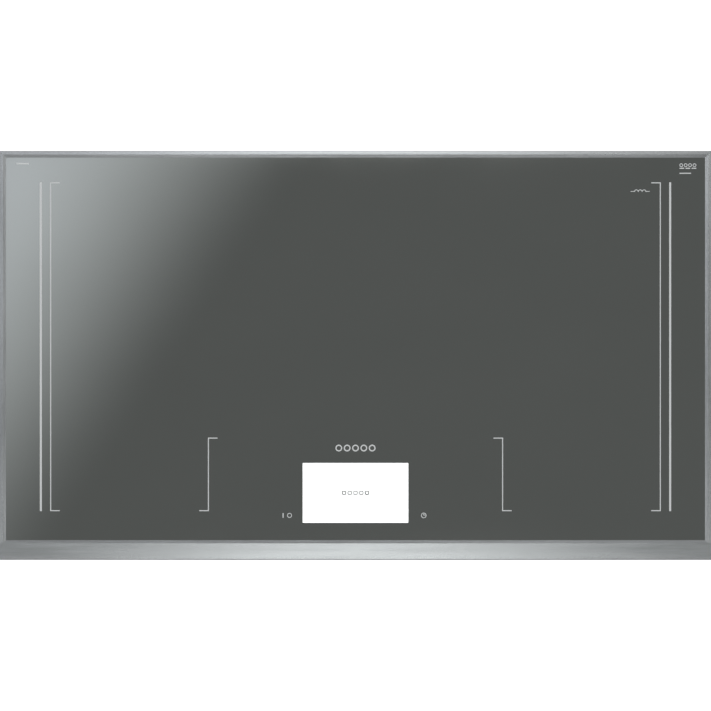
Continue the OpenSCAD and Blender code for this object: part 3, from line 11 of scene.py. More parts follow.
import bmesh
import bpy
import numpy as np
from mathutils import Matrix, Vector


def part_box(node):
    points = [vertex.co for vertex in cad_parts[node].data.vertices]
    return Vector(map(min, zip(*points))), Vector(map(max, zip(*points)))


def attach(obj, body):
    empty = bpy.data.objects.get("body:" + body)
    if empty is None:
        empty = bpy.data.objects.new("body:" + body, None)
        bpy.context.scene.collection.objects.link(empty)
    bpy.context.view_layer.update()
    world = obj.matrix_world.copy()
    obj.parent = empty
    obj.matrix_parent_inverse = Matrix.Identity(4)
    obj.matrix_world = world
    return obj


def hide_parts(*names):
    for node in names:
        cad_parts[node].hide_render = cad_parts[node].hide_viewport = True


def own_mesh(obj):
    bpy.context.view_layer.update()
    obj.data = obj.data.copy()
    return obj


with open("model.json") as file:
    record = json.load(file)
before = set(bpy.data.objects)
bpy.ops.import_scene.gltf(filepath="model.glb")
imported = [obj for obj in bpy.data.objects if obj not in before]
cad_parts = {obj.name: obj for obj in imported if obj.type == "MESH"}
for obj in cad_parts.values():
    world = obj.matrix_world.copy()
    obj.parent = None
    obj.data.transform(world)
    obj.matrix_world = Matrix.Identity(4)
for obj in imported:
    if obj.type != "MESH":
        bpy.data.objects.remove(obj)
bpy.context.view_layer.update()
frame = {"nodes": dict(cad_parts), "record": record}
nodes = frame["nodes"]

# %% [markdown]
# ## Sizes
# Everything is in metres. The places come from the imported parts' boxes, so the new pieces sit exactly where
# the parts they stand for were. Only sizes that no box can give are written here.

# %% Sizes taken from the frame
MM = 0.001
plate_low, plate_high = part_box("glass_plate")
rear_low, rear_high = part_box("trim_rear")
side_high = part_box("trim_right")[1]
screen_low, screen_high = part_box("display_screen")
gasket_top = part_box("worktop_gasket")[1][2]
half_w = side_high[0]
half_d = rear_high[1]
frame_top = rear_high[2]
plate_top = plate_high[2]
rail_bottom = rear_low[2]
lip_width = 9 * MM
front_lip_width = 26.4 * MM
lip_slope = 4 * MM
lip_thickness = 1.2 * MM
lip_edge = 0.25 * MM
front_fall = 0.4 * MM
edge_radius = 0.7 * MM
front_edge_radius = 1.7 * MM
rail_wall = 1.5 * MM
flange_depth = 14.5 * MM
flange_thickness = 0.7 * MM
plate_corner = 3 * MM
plate_edge = 0.5 * MM
seam = 0.06 * MM
closure_inset = 0.02 * MM
rail_bevel = 0.1 * MM
print("half width", round(half_w, 4), "half depth", round(half_d, 4), "top", round(frame_top, 4))


# %% [markdown]
# ## Helpers
# A colour is written as its screen value, and one function turns it into light. One small function adds a
# shader node with its settings and its links. Pieces are numpy arrays of corners and lists of faces.

# %% Colour, node and mesh helpers
def light_of(code, alpha=1.0):
    """A screen colour as linear light: c / 12.92 below 0.04045, else ((c + 0.055) / 1.055) ** 2.4."""
    values = [int(code[i : i + 2], 16) / 255 for i in (1, 3, 5)]
    return tuple(c / 12.92 if c <= 0.04045 else ((c + 0.055) / 1.055) ** 2.4 for c in values) + (alpha,)


def add(tree, kind, links=None, **settings):
    """Adds one shader node. links maps an input's name or number to a value or to another node's output."""
    node = tree.nodes.new("ShaderNode" + kind)
    for name, value in settings.items():
        setattr(node, name, value)
    for key, value in (links or {}).items():
        if isinstance(value, bpy.types.NodeSocket):
            tree.links.new(value, node.inputs[key])
        else:
            node.inputs[key].default_value = value
    return node


def new_material(name):
    """An empty material, its tree, its Principled node and the object coordinates of the piece it is on."""
    material = bpy.data.materials.new(name)
    material.use_nodes = True
    tree = material.node_tree
    tree.nodes.clear()
    shader = add(tree, "BsdfPrincipled")
    output = add(tree, "OutputMaterial", {"Surface": shader.outputs[0]})
    output.is_active_output = True
    place = add(tree, "TexCoord").outputs["Object"]
    return material, tree, shader, place


def stretched(tree, place, scale):
    """The coordinates times one factor per axis: a pattern is drawn out along the axis with the least."""
    return add(tree, "Mapping", {"Vector": place, "Scale": scale}).outputs[0]


def two_tone(tree, factor, low, high):
    """A colour that goes from low to high as the factor goes from 0 to 1."""
    return add(tree, "Mix", {0: factor, 6: low, 7: high}, data_type="RGBA").outputs[2]


def spread(tree, factor, low, high, start=0.0, end=1.0, kind="LINEAR"):
    """A number that goes from low to high as the factor goes from start to end."""
    links = {"Value": factor, "From Min": start, "From Max": end, "To Min": low, "To Max": high}
    return add(tree, "MapRange", links, interpolation_type=kind).outputs[0]


def bump(tree, shader, height, depth, strength=1.0):
    """Raises the surface by depth metres where the height is 1."""
    links = {"Height": height, "Distance": depth, "Strength": strength}
    tree.links.new(add(tree, "Bump", links).outputs[0], shader.inputs["Normal"])


def mesh_piece(
    name, points, faces, material, body="cooktop", slot=None, stands_for=(), smooth=True, sharp=35
):
    """A piece from arrays of corners and lists of faces, with its normals turned outwards."""
    mesh = bpy.data.meshes.new(name)
    mesh.from_pydata(np.asarray(points, float).tolist(), [], [list(map(int, face)) for face in faces])
    work = bmesh.new()
    work.from_mesh(mesh)
    bmesh.ops.recalc_face_normals(work, faces=work.faces)
    work.to_mesh(mesh)
    work.free()
    mesh.validate()
    mesh.materials.append(material)
    mesh.polygons.foreach_set("use_smooth", [smooth] * len(mesh.polygons))
    piece = bpy.data.objects.new(name, mesh)
    bpy.context.scene.collection.objects.link(piece)
    if smooth:
        mesh.set_sharp_from_angle(angle=math.radians(sharp))
    if body:
        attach(piece, body)
        if stands_for:
            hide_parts(*stands_for)
    print(name, len(mesh.vertices), "corners", len(mesh.polygons), "faces")
    return piece


def bevel(piece, width, segments=3, angle=40):
    """Rounds the piece's sharp edges."""
    step = piece.modifiers.new("edges", "BEVEL")
    step.width = width
    step.segments = segments
    step.limit_method = "ANGLE"
    step.angle_limit = math.radians(angle)
    step.harden_normals = True


def box_arrays(low, high):
    """The eight corners and six faces of a box."""
    ends = list(zip(low, high))
    corners = [(x, y, z) for x in ends[0] for y in ends[1] for z in ends[2]]
    faces = [(0, 1, 3, 2), (4, 6, 7, 5), (0, 4, 5, 1), (2, 3, 7, 6), (0, 2, 6, 4), (1, 5, 7, 3)]
    return corners, faces


def joined(parts):
    """Several (points, faces) pairs as one pair."""
    points, faces = [], []
    for some_points, some_faces in parts:
        faces += [[i + len(points) for i in face] for face in some_faces]
        points += list(some_points)
    return points, faces


# %% [markdown]
# ## Finishes
# Each material has the detail that the real one shows at its own scale. Brushed steel has fine lines along
# the rail. Zinc-coated sheet has frost-like crystals. The plate has a hard grey mirror coat under the glass,
# so it acts like a dark mirror and keeps no pattern of its own beyond a faint haze.

# %% The glass plate's two finishes
def coated_glass():
    """Dark mirror: a metal-like reflection of about a third, with a wipe haze in its roughness."""
    material, tree, shader, place = new_material("mirror_coated_glass")
    wiped = stretched(tree, place, (3, 5, 1))
    haze = add(tree, "TexNoise", {"Vector": wiped, "Scale": 2.0, "Detail": 4.0})
    tone = two_tone(tree, haze.outputs[0], light_of("#919492"), light_of("#959896"))
    tree.links.new(tone, shader.inputs["Base Color"])
    rough = spread(tree, haze.outputs[0], 0.02, 0.05)
    tree.links.new(rough, shader.inputs["Roughness"])
    shader.inputs["Metallic"].default_value = 1.0
    return material


def clear_glass():
    """The uncoated window: clear polished glass."""
    material, tree, shader, place = new_material("clear_window")
    haze = add(tree, "TexNoise", {"Vector": place, "Scale": 8.0, "Detail": 3.0})
    tree.links.new(spread(tree, haze.outputs[0], 0.0, 0.02), shader.inputs["Roughness"])
    tone = two_tone(tree, haze.outputs[0], light_of("#fbfdfc"), light_of("#ffffff"))
    tree.links.new(tone, shader.inputs["Base Color"])
    shader.inputs["Transmission Weight"].default_value = 1.0
    shader.inputs["IOR"].default_value = 1.47
    return material


# %% Metals
def brushed_steel(name, along, code="#c9ccce"):
    """Stainless steel with fine lines along one axis: noise squeezed across it, in tone, gloss and relief."""
    material, tree, shader, place = new_material(name)
    fine = [900.0, 900.0, 900.0]
    fine["xyz".index(along)] = 9.0
    broad = [60.0, 60.0, 60.0]
    broad["xyz".index(along)] = 3.0
    lines = add(tree, "TexNoise", {"Vector": stretched(tree, place, fine), "Scale": 4.0, "Detail": 3.0})
    bands = add(tree, "TexNoise", {"Vector": stretched(tree, place, broad), "Scale": 2.0, "Detail": 2.0})
    blend = add(tree, "Math", {0: lines.outputs[0], 1: bands.outputs[0]}, operation="ADD")
    factor = spread(tree, blend.outputs[0], 0.0, 1.0, 0.6, 1.4)
    dark = tuple(0.72 * c for c in light_of(code)[:3]) + (1.0,)
    tree.links.new(two_tone(tree, factor, dark, light_of(code)), shader.inputs["Base Color"])
    tree.links.new(spread(tree, factor, 0.17, 0.27), shader.inputs["Roughness"])
    shader.inputs["Metallic"].default_value = 1.0
    shader.inputs["Anisotropic"].default_value = 0.4
    bump(tree, shader, lines.outputs[0], 0.00002, 0.5)
    return material


def crystal_zinc(name, code, cell=70.0):
    """Zinc-coated sheet: frost-like cells, each with its own tone and gloss, and a fine grain."""
    material, tree, shader, place = new_material(name)
    cells = add(tree, "TexVoronoi", {"Vector": place, "Scale": cell, "Randomness": 1.0})
    cell_tone = add(tree, "SeparateColor", {"Color": cells.outputs["Color"]}).outputs[0]
    noise = add(tree, "TexNoise", {"Vector": place, "Scale": 240.0, "Detail": 3.0})
    mixed = add(tree, "Math", {0: cell_tone, 1: noise.outputs[0]}, operation="ADD")
    factor = spread(tree, mixed.outputs[0], 0.0, 1.0, 0.3, 1.7)
    dark = tuple(0.68 * c for c in light_of(code)[:3]) + (1.0,)
    tree.links.new(two_tone(tree, factor, dark, light_of(code)), shader.inputs["Base Color"])
    tree.links.new(spread(tree, factor, 0.34, 0.52), shader.inputs["Roughness"])
    shader.inputs["Metallic"].default_value = 0.9
    bump(tree, shader, mixed.outputs[0], 0.00004, 0.4)
    return material


def plain_metal(name, code, rough, grain=300.0, depth=0.00003):
    """Cast, plated or wound metal: a fine even grain with small changes of tone and gloss."""
    material, tree, shader, place = new_material(name)
    noise = add(tree, "TexNoise", {"Vector": place, "Scale": grain, "Detail": 4.0})
    dark = tuple(0.75 * c for c in light_of(code)[:3]) + (1.0,)
    tree.links.new(two_tone(tree, noise.outputs[0], dark, light_of(code)), shader.inputs["Base Color"])
    tree.links.new(spread(tree, noise.outputs[0], rough, rough + 0.15), shader.inputs["Roughness"])
    shader.inputs["Metallic"].default_value = 1.0
    bump(tree, shader, noise.outputs[0], depth, 0.5)
    return material


# %% Plastics, rubber, ceramics and foam
def moulded(name, code, rough=0.45, grain=700.0, depth=0.00004, cells=False, darkest=0.7):
    """A moulded or sintered surface: spark-textured grain, or cells for foam and pressed fibre."""
    material, tree, shader, place = new_material(name)
    kind = "TexVoronoi" if cells else "TexNoise"
    pattern = add(tree, kind, {"Vector": place, "Scale": grain}).outputs[0]
    drift = add(tree, "TexNoise", {"Vector": place, "Scale": 12.0, "Detail": 3.0}).outputs[0]
    mixed = add(tree, "Math", {0: pattern, 1: drift}, operation="ADD").outputs[0]
    factor = spread(tree, mixed, 0.0, 1.0, 0.2, 1.6)
    dark = tuple(darkest * c for c in light_of(code)[:3]) + (1.0,)
    tree.links.new(two_tone(tree, factor, dark, light_of(code)), shader.inputs["Base Color"])
    tree.links.new(spread(tree, factor, rough, min(rough + 0.2, 1.0)), shader.inputs["Roughness"])
    bump(tree, shader, pattern, depth, 0.6)
    return material


def lit_panel():
    """The display's diffuser: white light behind a faint even grain."""
    material, tree, shader, place = new_material("lit_panel")
    noise = add(tree, "TexNoise", {"Vector": place, "Scale": 900.0, "Detail": 2.0})
    tone = two_tone(tree, noise.outputs[0], light_of("#f4f6f8"), light_of("#ffffff"))
    tree.links.new(tone, shader.inputs["Base Color"])
    shader.inputs["Roughness"].default_value = 0.35
    shader.inputs["Emission Color"].default_value = light_of("#ffffff")
    shader.inputs["Emission Strength"].default_value = 1.25
    return material


finishes = {
    "enamel_print": moulded("fired_enamel", "#dfe2e3", 0.45, 1500.0, 0.00001, darkest=0.86),
    "silicone": moulded("dark_silicone", "#26282a", 0.5, 300.0),
    "foam": moulded("closed_cell_foam", "#35363a", 0.85, 1400.0, 0.0002, cells=True),
    "galvanised_sheet": crystal_zinc("galvanised_sheet", "#c3c7c9"),
    "terminal_plastic": moulded("terminal_plastic", "#d8d4c4", 0.4),
    "zinc_fitting": plain_metal("die_cast_zinc", "#bfc3c5", 0.35, 500.0, 0.00006),
    "mat_fibre": moulded("pressed_fibre", "#e6e2d6", 0.9, 900.0, 0.0002, cells=True),
    "tray_aluminium": brushed_steel("rolled_aluminium", "x", "#d5d8da"),
    "carrier_plastic": moulded("carrier_plastic", "#3b3a38", 0.55),
    "copper": plain_metal("varnished_copper", "#c77b46", 0.3, 1200.0, 0.00008),
    "ferrite": moulded("sintered_ferrite", "#3a3a3e", 0.7, 900.0),
    "sensor_ceramic": moulded("sensor_ceramic", "#d6c9a4", 0.5),
    "spring_steel": brushed_steel("blued_spring", "y", "#8c8f98"),
    "black_plastic": moulded("black_plastic", "#303234", 0.5),
    "board_green": moulded("solder_mask", "#2f7a4b", 0.3, 180.0),
    "key_pad": moulded("conductive_rubber", "#4a4c50", 0.6),
    "standoff_plastic": moulded("nylon", "#d0d2d0", 0.45),
    "component_plastic": moulded("component_cases", "#34384a", 0.45),
    "wire_jacket": moulded("wire_jacket", "#3a3a3c", 0.5),
    "fan_plastic": moulded("fan_plastic", "#55595c", 0.5),
    "screw_zinc": plain_metal("bright_zinc", "#d4d6d2", 0.25, 800.0),
}
for part in frame["record"]["subparts"]:
    finish = finishes.get(part["material_slot"])
    if finish:
        for held in nodes[part["node"]].material_slots:
            held.material = finish
print("finishes", len(finishes))


# %% [markdown]
# ## The glass plate
# The real plate is cut, ground and polished along its edge, then coated on its lower face, with the coat
# left out over the display. A rounded outline is repeated at four heights, inset at the top and the bottom
# by the ground edge. Four straight cuts along the window's sides then give the window faces of their own.

# %% The plate with its clear window
def rounded_outline(half_x, half_y, radius, steps=8):
    """Four quarter arcs: centre (±(half_x - r), ±(half_y - r)) plus r (cos a, sin a)."""
    points = []
    for corner, (sx, sy) in enumerate(((1, 1), (-1, 1), (-1, -1), (1, -1))):
        for i in range(steps + 1):
            a = (corner + i / steps) * math.pi / 2
            x = sx * (half_x - radius) + radius * math.cos(a)
            y = sy * (half_y - radius) + radius * math.sin(a)
            points.append((x, y))
    return points


def glass_plate():
    """Four rounded outlines joined by quads, closed at both ends, then cut along the window's four sides."""
    half_x, half_y = plate_high[0], plate_high[1]
    levels = [
        (plate_low[2], plate_edge), (plate_low[2] + plate_edge, 0),
        (plate_top - plate_edge, 0), (plate_top, plate_edge),
    ]
    points, faces = [], []
    for z, inset in levels:
        outline = rounded_outline(half_x - inset, half_y - inset, plate_corner - inset / 2)
        points += [(x, y, z) for x, y in outline]
    count = len(points) // len(levels)
    for start in range(0, (len(levels) - 1) * count, count):
        for i in range(count):
            j = (i + 1) % count
            faces.append((start + i, start + j, start + count + j, start + count + i))
    faces += [list(range(count))[::-1], list(range(3 * count, 4 * count))]
    piece = mesh_piece(
        "glass_plate_finish", points, faces, coated_glass(), slot="glass_plate", stands_for=["glass_plate"]
    )
    piece.data.materials.append(clear_glass())
    work = bmesh.new()
    work.from_mesh(piece.data)
    for axis, at in ((0, screen_low[0]), (0, screen_high[0]), (1, screen_low[1]), (1, screen_high[1])):
        normal = [0, 0, 0]
        normal[axis] = 1
        place = [0, 0, 0]
        place[axis] = at
        everything = work.verts[:] + work.edges[:] + work.faces[:]
        bmesh.ops.bisect_plane(work, geom=everything, plane_co=place, plane_no=normal)
    for face in work.faces:
        middle = face.calc_center_median()
        inside = all(screen_low[k] < middle[k] < screen_high[k] for k in (0, 1))
        face.material_index = 1 if inside else 0
    work.to_mesh(piece.data)
    work.free()
    return piece


glass_plate()


# %% [markdown]
# ## The frame's four rails
# Each rail is rolled from stainless strip: an outer wall, a lower flange that carries the plate, and a lip
# over the plate's edge with a slope down to the glass. The same section is placed at both ends of a rail,
# and how far each of its points reaches depends on its distance from the outer face, which makes the mitres.

# %% Section and ends of a rail
def rail_section(lip, fall, radius):
    """The rail's outline as (inset from the outer face, height): straight runs and a quarter circle."""
    flange_z = gasket_top
    top = frame_top - fall
    lip_z = frame_top - lip_thickness
    arc = [
        (radius * (1 - math.sin(a)), top - radius * (1 - math.cos(a)))
        for a in [math.pi / 2 * i / 12 for i in range(13)]
    ]
    return [
        (0, rail_bottom), (rail_wall, rail_bottom), (rail_wall, flange_z),
        (rail_wall + flange_depth, flange_z), (rail_wall + flange_depth, flange_z + flange_thickness),
        (rail_wall, flange_z + flange_thickness), (rail_wall, lip_z), (lip, lip_z),
        (lip, lip_z + lip_edge), (lip - lip_slope, frame_top),
    ] + arc


def rail(name, section, place, start, end, material, extra=()):
    """place(inset, along, z) gives a point; start(inset) and end(inset) say where each end stops."""
    count = len(section)
    points = [place(u, start(u), z) for u, z in section] + [place(u, end(u), z) for u, z in section]
    faces = [(i, (i + 1) % count, count + (i + 1) % count, count + i) for i in range(count)]
    faces += [list(range(count))[::-1], list(range(count, 2 * count))]
    parts = joined([(points, faces), *extra])
    piece = mesh_piece(name + "_finish", *parts, material, slot="brushed_trim", stands_for=[name], sharp=10)
    bevel(piece, rail_bevel, 2, 11)
    return piece


# %% The four rails
steel_x = brushed_steel("brushed_steel_across", "x")
steel_y = brushed_steel("brushed_steel_along", "y")
front_butt = -half_d + front_lip_width - lip_slope
narrow = rail_section(lip_width, 0.0, edge_radius)
wide = rail_section(front_lip_width, front_fall, front_edge_radius)


def side_front_end(inset):
    """A side rail's land ends square at the front rail; its slope runs on to meet the front rail's slope."""
    return front_butt + seam + min(max(inset - (lip_width - lip_slope), 0.0), lip_slope)


def front_end(inset):
    """The front rail's land spans the full width; its slope stops at the side rails' slopes."""
    if inset <= front_lip_width - lip_slope:
        return half_w
    return half_w - (lip_width - lip_slope) - (inset - front_lip_width + lip_slope)


for side, name in ((1, "trim_right"), (-1, "trim_left")):
    rail(
        name, narrow, lambda u, y, z, s=side: (s * (half_w - u), y, z),
        side_front_end, lambda u: half_d - u - seam, steel_y,
    )
rail(
    "trim_rear", narrow, lambda u, x, z: (x, half_d - u, z),
    lambda u: u - half_w, lambda u: half_w - u, steel_x,
)
closure_out = half_w - closure_inset
closure_top = frame_top - 1.01 * lip_thickness
closures = [
    box_arrays((x, rail_wall / 3 - half_d, rail_bottom), (x + rail_wall, front_butt, closure_top))
    for x in (-closure_out, closure_out - rail_wall)
]
rail(
    "trim_front", wide, lambda u, x, z: (x, u - half_d, z),
    lambda u: -front_end(u), front_end, steel_x, closures,
)


# %% [markdown]
# ## The display
# A white panel lights the window from below. While the cooktop waits it shows one row of small dark rings.
# They lie in the narrow gap between the panel and the glass.

# %% Panel and rings
def ring_arrays(centre, radius, width, height, steps=48):
    """A flat ring: two circles of radius r and r - w at two heights, joined by quads."""
    points, faces = [], []
    for z in (centre[2], centre[2] + height):
        for r in (radius, radius - width):
            for i in range(steps):
                a = 2 * math.pi * i / steps
                points.append((centre[0] + r * math.cos(a), centre[1] + r * math.sin(a), z))
    for i in range(steps):
        j = (i + 1) % steps
        faces += [
            (i, j, steps + j, steps + i), (2 * steps + i, 3 * steps + i, 3 * steps + j, 2 * steps + j),
            (i, 2 * steps + i, 2 * steps + j, j), (steps + i, steps + j, 3 * steps + j, 3 * steps + i),
        ]
    return points, faces


panel = mesh_piece(
    "lit_display", *box_arrays(screen_low, screen_high), lit_panel(), slot="screen",
    stands_for=["display_screen"], smooth=False,
)
panel_bevel = 0.3 * MM
bevel(panel, panel_bevel)
screen_middle = ((screen_low[0] + screen_high[0]) / 2, (screen_low[1] + screen_high[1]) / 2)
ring_pitch = 7.6 * MM
ring_radius = 3.2 * MM
ring_line = 1.5 * MM
ring_height = 0.2 * MM
ring_places = [(screen_middle[0] + i * ring_pitch, screen_middle[1], screen_high[2]) for i in range(-2, 3)]
ring_parts = [ring_arrays(place, ring_radius, ring_line, ring_height) for place in ring_places]
display_ink = moulded("display_ink", "#3c3f44", 0.5)
mesh_piece("display_rings", *joined(ring_parts), display_ink, slot="black_plastic")


# %% [markdown]
# ## The leaf springs
# Four bowed strips press each coil tray up against the plate. A strip is bent to a raised cosine between
# two flat feet. The real strip flattens as its tray goes down; here each one keeps its resting bow.

# %% Bowed springs, one mesh per tray
def leaf_arrays(low, high, thickness=0.6 * MM, foot=5 * MM, steps=28):
    """z = z0 + rise (1 - cos(2 pi t)) / 2 along the bow, flat over each foot, thickened upwards."""
    inner0, inner1 = low[1] + foot, high[1] - foot
    rise = high[2] - low[2] - thickness
    line = [(low[1], low[2])]
    for i in range(steps + 1):
        z = low[2] + rise * (1 - math.cos(2 * math.pi * i / steps)) / 2
        line.append((inner0 + (inner1 - inner0) * i / steps, z))
    line.append((high[1], low[2]))
    count = len(line)
    points, faces = [], []
    for x in (low[0], high[0]):
        points += [(x, y, z) for y, z in line] + [(x, y, z + thickness) for y, z in line]
    for i in range(count - 1):
        for a, b in ((0, 2 * count), (3 * count, count)):
            faces.append((a + i, a + i + 1, b + i + 1, b + i))
        for a in (0, 2 * count):
            faces.append((a + i, a + i + 1, a + count + i + 1, a + count + i))
    for i in (0, count - 1):
        faces.append((i, count + i, 3 * count + i, 2 * count + i))
    return points, faces


def islands(node):
    """The boxes of a node's separate solids, found by joining corners that share a face."""
    mesh = nodes[node].data
    places = np.empty(3 * len(mesh.vertices))
    mesh.vertices.foreach_get("co", places)
    places = places.reshape(-1, 3)
    work = bmesh.new()
    work.from_mesh(mesh)
    bmesh.ops.remove_doubles(work, verts=work.verts[:], dist=1e-6)
    seen, boxes = set(), []
    for start in work.verts:
        if start in seen:
            continue
        group, queue = [], [start]
        seen.add(start)
        while queue:
            vert = queue.pop()
            group.append(tuple(vert.co))
            for edge in vert.link_edges:
                other = edge.other_vert(vert)
                if other not in seen:
                    seen.add(other)
                    queue.append(other)
        corners = np.array(group)
        boxes.append((corners.min(axis=0), corners.max(axis=0)))
    work.free()
    return boxes


for tray in ("rear", "middle", "front"):
    node = "tray_springs_" + tray
    parts = [leaf_arrays(low, high) for low, high in islands(node)]
    spring = mesh_piece(
        node + "_bent", *joined(parts), finishes["spring_steel"], slot="spring_steel", stands_for=[node]
    )
    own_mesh(spring)


# %% [markdown]
# ## The housing's pressed details
# Long beads are pressed into the front and side walls so that the thin sheet doesn't drum. Each bead is a
# long round-ended shape, flattened so that it rises less than the sheet's thickness, with its back half
# inside the sheet. A plain foil plate with a printed border is stuck on the rear wall and on the left side.

# %% Pressed beads
wall_low, wall_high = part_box("housing_base")
panel_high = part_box("side_panel_right")[1]
bead_half_width = 4.5 * MM
bead_rise = 0.8 * MM
bead_heights = (24 * MM, 44 * MM)
front_bead_x = 205 * MM
front_bead_half = 150 * MM
side_bead_y = 110 * MM
side_bead_half = 60 * MM


def bead_arrays(centre, half_length, along, outward, turns=20, rounds=16):
    """A stretched ball: (±L + w cos t) along, w sin t cos p upwards and h sin t sin p outwards."""
    points = []
    for i in range(turns + 1):
        t = math.pi * i / turns
        shift = half_length if i < turns / 2 else -half_length
        for j in range(rounds):
            p = 2 * math.pi * j / rounds
            offset = [0.0, 0.0, bead_half_width * math.sin(t) * math.cos(p)]
            offset[along] += shift + bead_half_width * math.cos(t)
            offset[outward] += bead_rise * math.sin(t) * math.sin(p)
            points.append([centre[k] + offset[k] for k in range(3)])
    faces = []
    for i in range(turns):
        for j in range(rounds):
            k = (j + 1) % rounds
            faces.append((i * rounds + j, i * rounds + k, (i + 1) * rounds + k, (i + 1) * rounds + j))
    return points, faces


def merged(piece):
    """Joins the corners that fall together at a bead's tips."""
    work = bmesh.new()
    work.from_mesh(piece.data)
    bmesh.ops.remove_doubles(work, verts=work.verts[:], dist=1e-7)
    bmesh.ops.recalc_face_normals(work, faces=work.faces)
    work.to_mesh(piece.data)
    work.free()


sheet = 1 * MM
front_wall = wall_low[1] + sheet / 8
front_beads = [
    bead_arrays((x, front_wall, z), front_bead_half, 0, 1)
    for x in (-front_bead_x, front_bead_x)
    for z in bead_heights
]
side_wall = panel_high[0] - sheet / 8
side_beads = [
    bead_arrays((x, y, z), side_bead_half, 1, 0)
    for x, y in ((-side_wall, -side_bead_y), (side_wall, -side_bead_y), (-side_wall, side_bead_y))
    for z in bead_heights
]
bead_points, bead_faces = joined(front_beads + side_beads)
zinc_sheet = finishes["galvanised_sheet"]
merged(mesh_piece("wall_beads", bead_points, bead_faces, zinc_sheet, slot="galvanised_sheet"))

# %% Blank foil plates
foil = plain_metal("foil_plate", "#dfe1e2", 0.3, 900.0, 0.00001)
border_ink = moulded("border_ink", "#55585c", 0.5)


def foil_plate(name, centre, half_length, half_height, along, outward, side):
    """A thin sheet on a wall with four printed border strips just proud of it."""

    def slab(a, b, z0, z1, deep, proud):
        low, high = [0.0, 0.0, centre[2] + z0], [0.0, 0.0, centre[2] + z1]
        low[along], high[along] = centre[along] + a, centre[along] + b
        ends = sorted((centre[outward] + side * deep, centre[outward] + side * proud))
        low[outward], high[outward] = ends
        return box_arrays(low, high)

    thick, ink, line, margin, sunk = 0.25 * MM, 0.05 * MM, 0.6 * MM, 3 * MM, 0.1 * MM
    base = slab(-half_length, half_length, -half_height, half_height, -sunk, thick)
    bevel(mesh_piece(name, *base, foil, slot="zinc_fitting", smooth=False), sunk, 2)
    x, z, half_line = half_length - margin, half_height - margin, line / 2
    strips = [slab(-x, x, s * z - half_line, s * z + half_line, 0, thick + ink) for s in (-1, 1)]
    strips += [
        slab(s * x - half_line, s * x + half_line, half_line - z, z - half_line, 0, thick + ink)
        for s in (-1, 1)
    ]
    mesh_piece(name + "_border", *joined(strips), border_ink, slot="black_plastic", smooth=False)


rear_plate_middle = (0, wall_high[1], 40 * MM)
left_plate_middle = (-panel_high[0], 170 * MM, 75 * MM)
rear_plate_half = (46 * MM, 20 * MM)
left_plate_half = (32 * MM, 9 * MM)
foil_plate("rear_plate", rear_plate_middle, *rear_plate_half, along=0, outward=1, side=1)
foil_plate("left_plate", left_plate_middle, *left_plate_half, along=1, outward=0, side=-1)


# %% [markdown]
# ## The studio
# The floor is a pale light table, so the cooktop has no shadow. The room is a soft white tent. A dark card
# hangs over the camera where the plate mirrors it, lighter towards one corner, and that card gives the
# plate its soft diagonal reflection. Only reflections see the card.

# %% Room, card and floor
camera_height = 4.0
card_height = 4.5
card_half = (1.7, 1.15)
card_slant = (-0.836, 0.549)
band_start, band_end = 0.189, 0.529
dark_level, bright_level = 0.275, 1.5
front_dimming = 1.8
floor_half = 30.0
floor_drop = 0.002


def camera_sees(tree, seen, otherwise):
    """One number for the camera's own rays and another for light and reflections."""
    ray = add(tree, "LightPath").outputs["Is Camera Ray"]
    return add(tree, "Mix", {0: ray, 2: otherwise, 3: seen}, data_type="FLOAT").outputs[0]


def room():
    """Light per direction d: overhead it falls with max(d.y, -1.8 d.y); low down the left is stronger."""
    world = bpy.data.worlds.new("tent")
    bpy.context.scene.world = world
    world.use_nodes = True
    tree = world.node_tree
    tree.nodes.clear()
    way = add(tree, "SeparateXYZ", {0: add(tree, "TexCoord").outputs["Generated"]})
    to_front = add(tree, "Math", {0: way.outputs[1], 1: -front_dimming}, operation="MULTIPLY").outputs[0]
    away = add(tree, "Math", {0: way.outputs[1], 1: to_front}, operation="MAXIMUM").outputs[0]
    overhead = spread(tree, away, 1.15, 0.34, 0.16, 0.40, "SMOOTHSTEP")
    horizon = spread(tree, way.outputs[0], 1.4, 0.8, -0.8, 0.8, "SMOOTHSTEP")
    height = spread(tree, way.outputs[2], 0.0, 1.0, 0.35, 0.75, "SMOOTHSTEP")
    strength = add(tree, "Mix", {0: height, 2: horizon, 3: overhead}, data_type="FLOAT").outputs[0]
    back = add(tree, "Background", {"Color": (1, 1, 1, 1), "Strength": camera_sees(tree, 1.0, strength)})
    add(tree, "OutputWorld", {"Surface": back.outputs[0]})


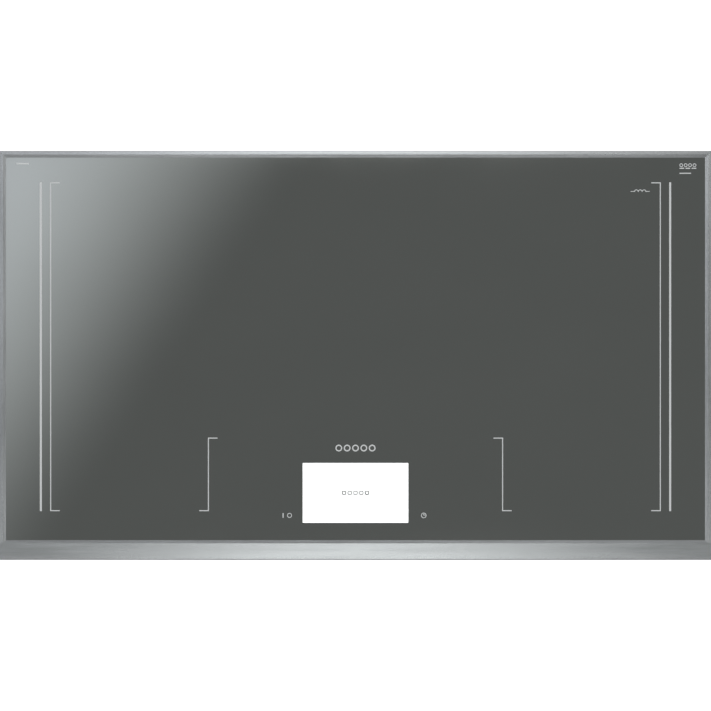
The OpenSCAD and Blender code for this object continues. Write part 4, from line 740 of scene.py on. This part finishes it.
def reflection_card():
    """Mirrored part: dark + (bright - dark) smoothstep(p . slant). Elsewhere: a peak at x = 0."""
    spread_out = 1 + (card_height - plate_top) / camera_height
    material = bpy.data.materials.new("card")
    material.use_nodes = True
    tree = material.node_tree
    tree.nodes.clear()
    place = add(tree, "TexCoord").outputs["Object"]
    across = (card_slant[0] / spread_out, card_slant[1] / spread_out, 0.0)
    d = add(tree, "VectorMath", {0: place, 1: across}, operation="DOT_PRODUCT").outputs["Value"]
    slope = spread(tree, d, dark_level, bright_level, band_start, band_end, "SMOOTHSTEP")
    way = add(tree, "SeparateXYZ", {0: place})
    sides = [add(tree, "Math", {0: way.outputs[k]}, operation="ABSOLUTE").outputs[0] for k in (0, 1)]
    lamp = spread(tree, sides[0], 2.3, 0.35, 0.1, 0.95, "SMOOTHSTEP")
    reach = [plate_high[k] * spread_out * 1.012 for k in (0, 1)]
    over = [
        add(tree, "Math", {0: sides[k], 1: reach[k]}, operation="GREATER_THAN").outputs[0] for k in (0, 1)
    ]
    outside = add(tree, "Math", {0: over[0], 1: over[1]}, operation="MAXIMUM").outputs[0]
    level = add(tree, "Mix", {0: outside, 2: slope, 3: lamp}, data_type="FLOAT").outputs[0]
    tint = spread(tree, d, 0.0, 1.0, band_start, band_end)
    cool = two_tone(tree, tint, light_of("#fdfffd"), light_of("#f6f9ff"))
    glow = add(tree, "Emission", {"Color": cool, "Strength": level})
    add(tree, "OutputMaterial", {"Surface": glow.outputs[0]})
    x, y = card_half
    points = [(-x, -y, card_height), (x, -y, card_height), (x, y, card_height), (-x, y, card_height)]
    card = mesh_piece("card", points, [(0, 1, 2, 3)], material, body=None, smooth=False)
    for way_seen in ("camera", "diffuse", "transmission", "shadow", "volume_scatter"):
        setattr(card, "visible_" + way_seen, False)


def floor():
    """A wide pale sheet. To the camera it is a light table; to the cooktop it is plain pale paper."""
    material, tree, shader = new_material("light_table")[:3]
    shader.inputs["Base Color"].default_value = light_of("#d8d8d8")
    shader.inputs["Roughness"].default_value = 0.8
    shader.inputs["Emission Color"].default_value = light_of("#ffffff")
    tree.links.new(camera_sees(tree, 1.0, 0.0), shader.inputs["Emission Strength"])
    corners = ((-1, -1), (1, -1), (1, 1), (-1, 1))
    points = [(x * floor_half, y * floor_half, -floor_drop) for x, y in corners]
    mesh_piece("floor", points, [(0, 1, 2, 3)], material, body=None, smooth=False)


room()
reflection_card()
floor()

# %% [markdown]
# ## Camera
# It looks straight down on the middle of the frame from four metres up, with a long lens, so the sides show
# no slant. The frame's width fills the picture.

# %% Camera and colour
lens_data = bpy.data.cameras.new("camera")
lens_data.sensor_width = 36.0
past_the_edge = 1.0028
lens_data.lens = past_the_edge * lens_data.sensor_width * camera_height / (2 * half_w)
camera = bpy.data.objects.new("camera", lens_data)
camera.location = (0, 0, frame_top + camera_height)
bpy.context.scene.collection.objects.link(camera)
bpy.context.scene.camera = camera
bpy.context.scene.view_settings.view_transform = "Standard"
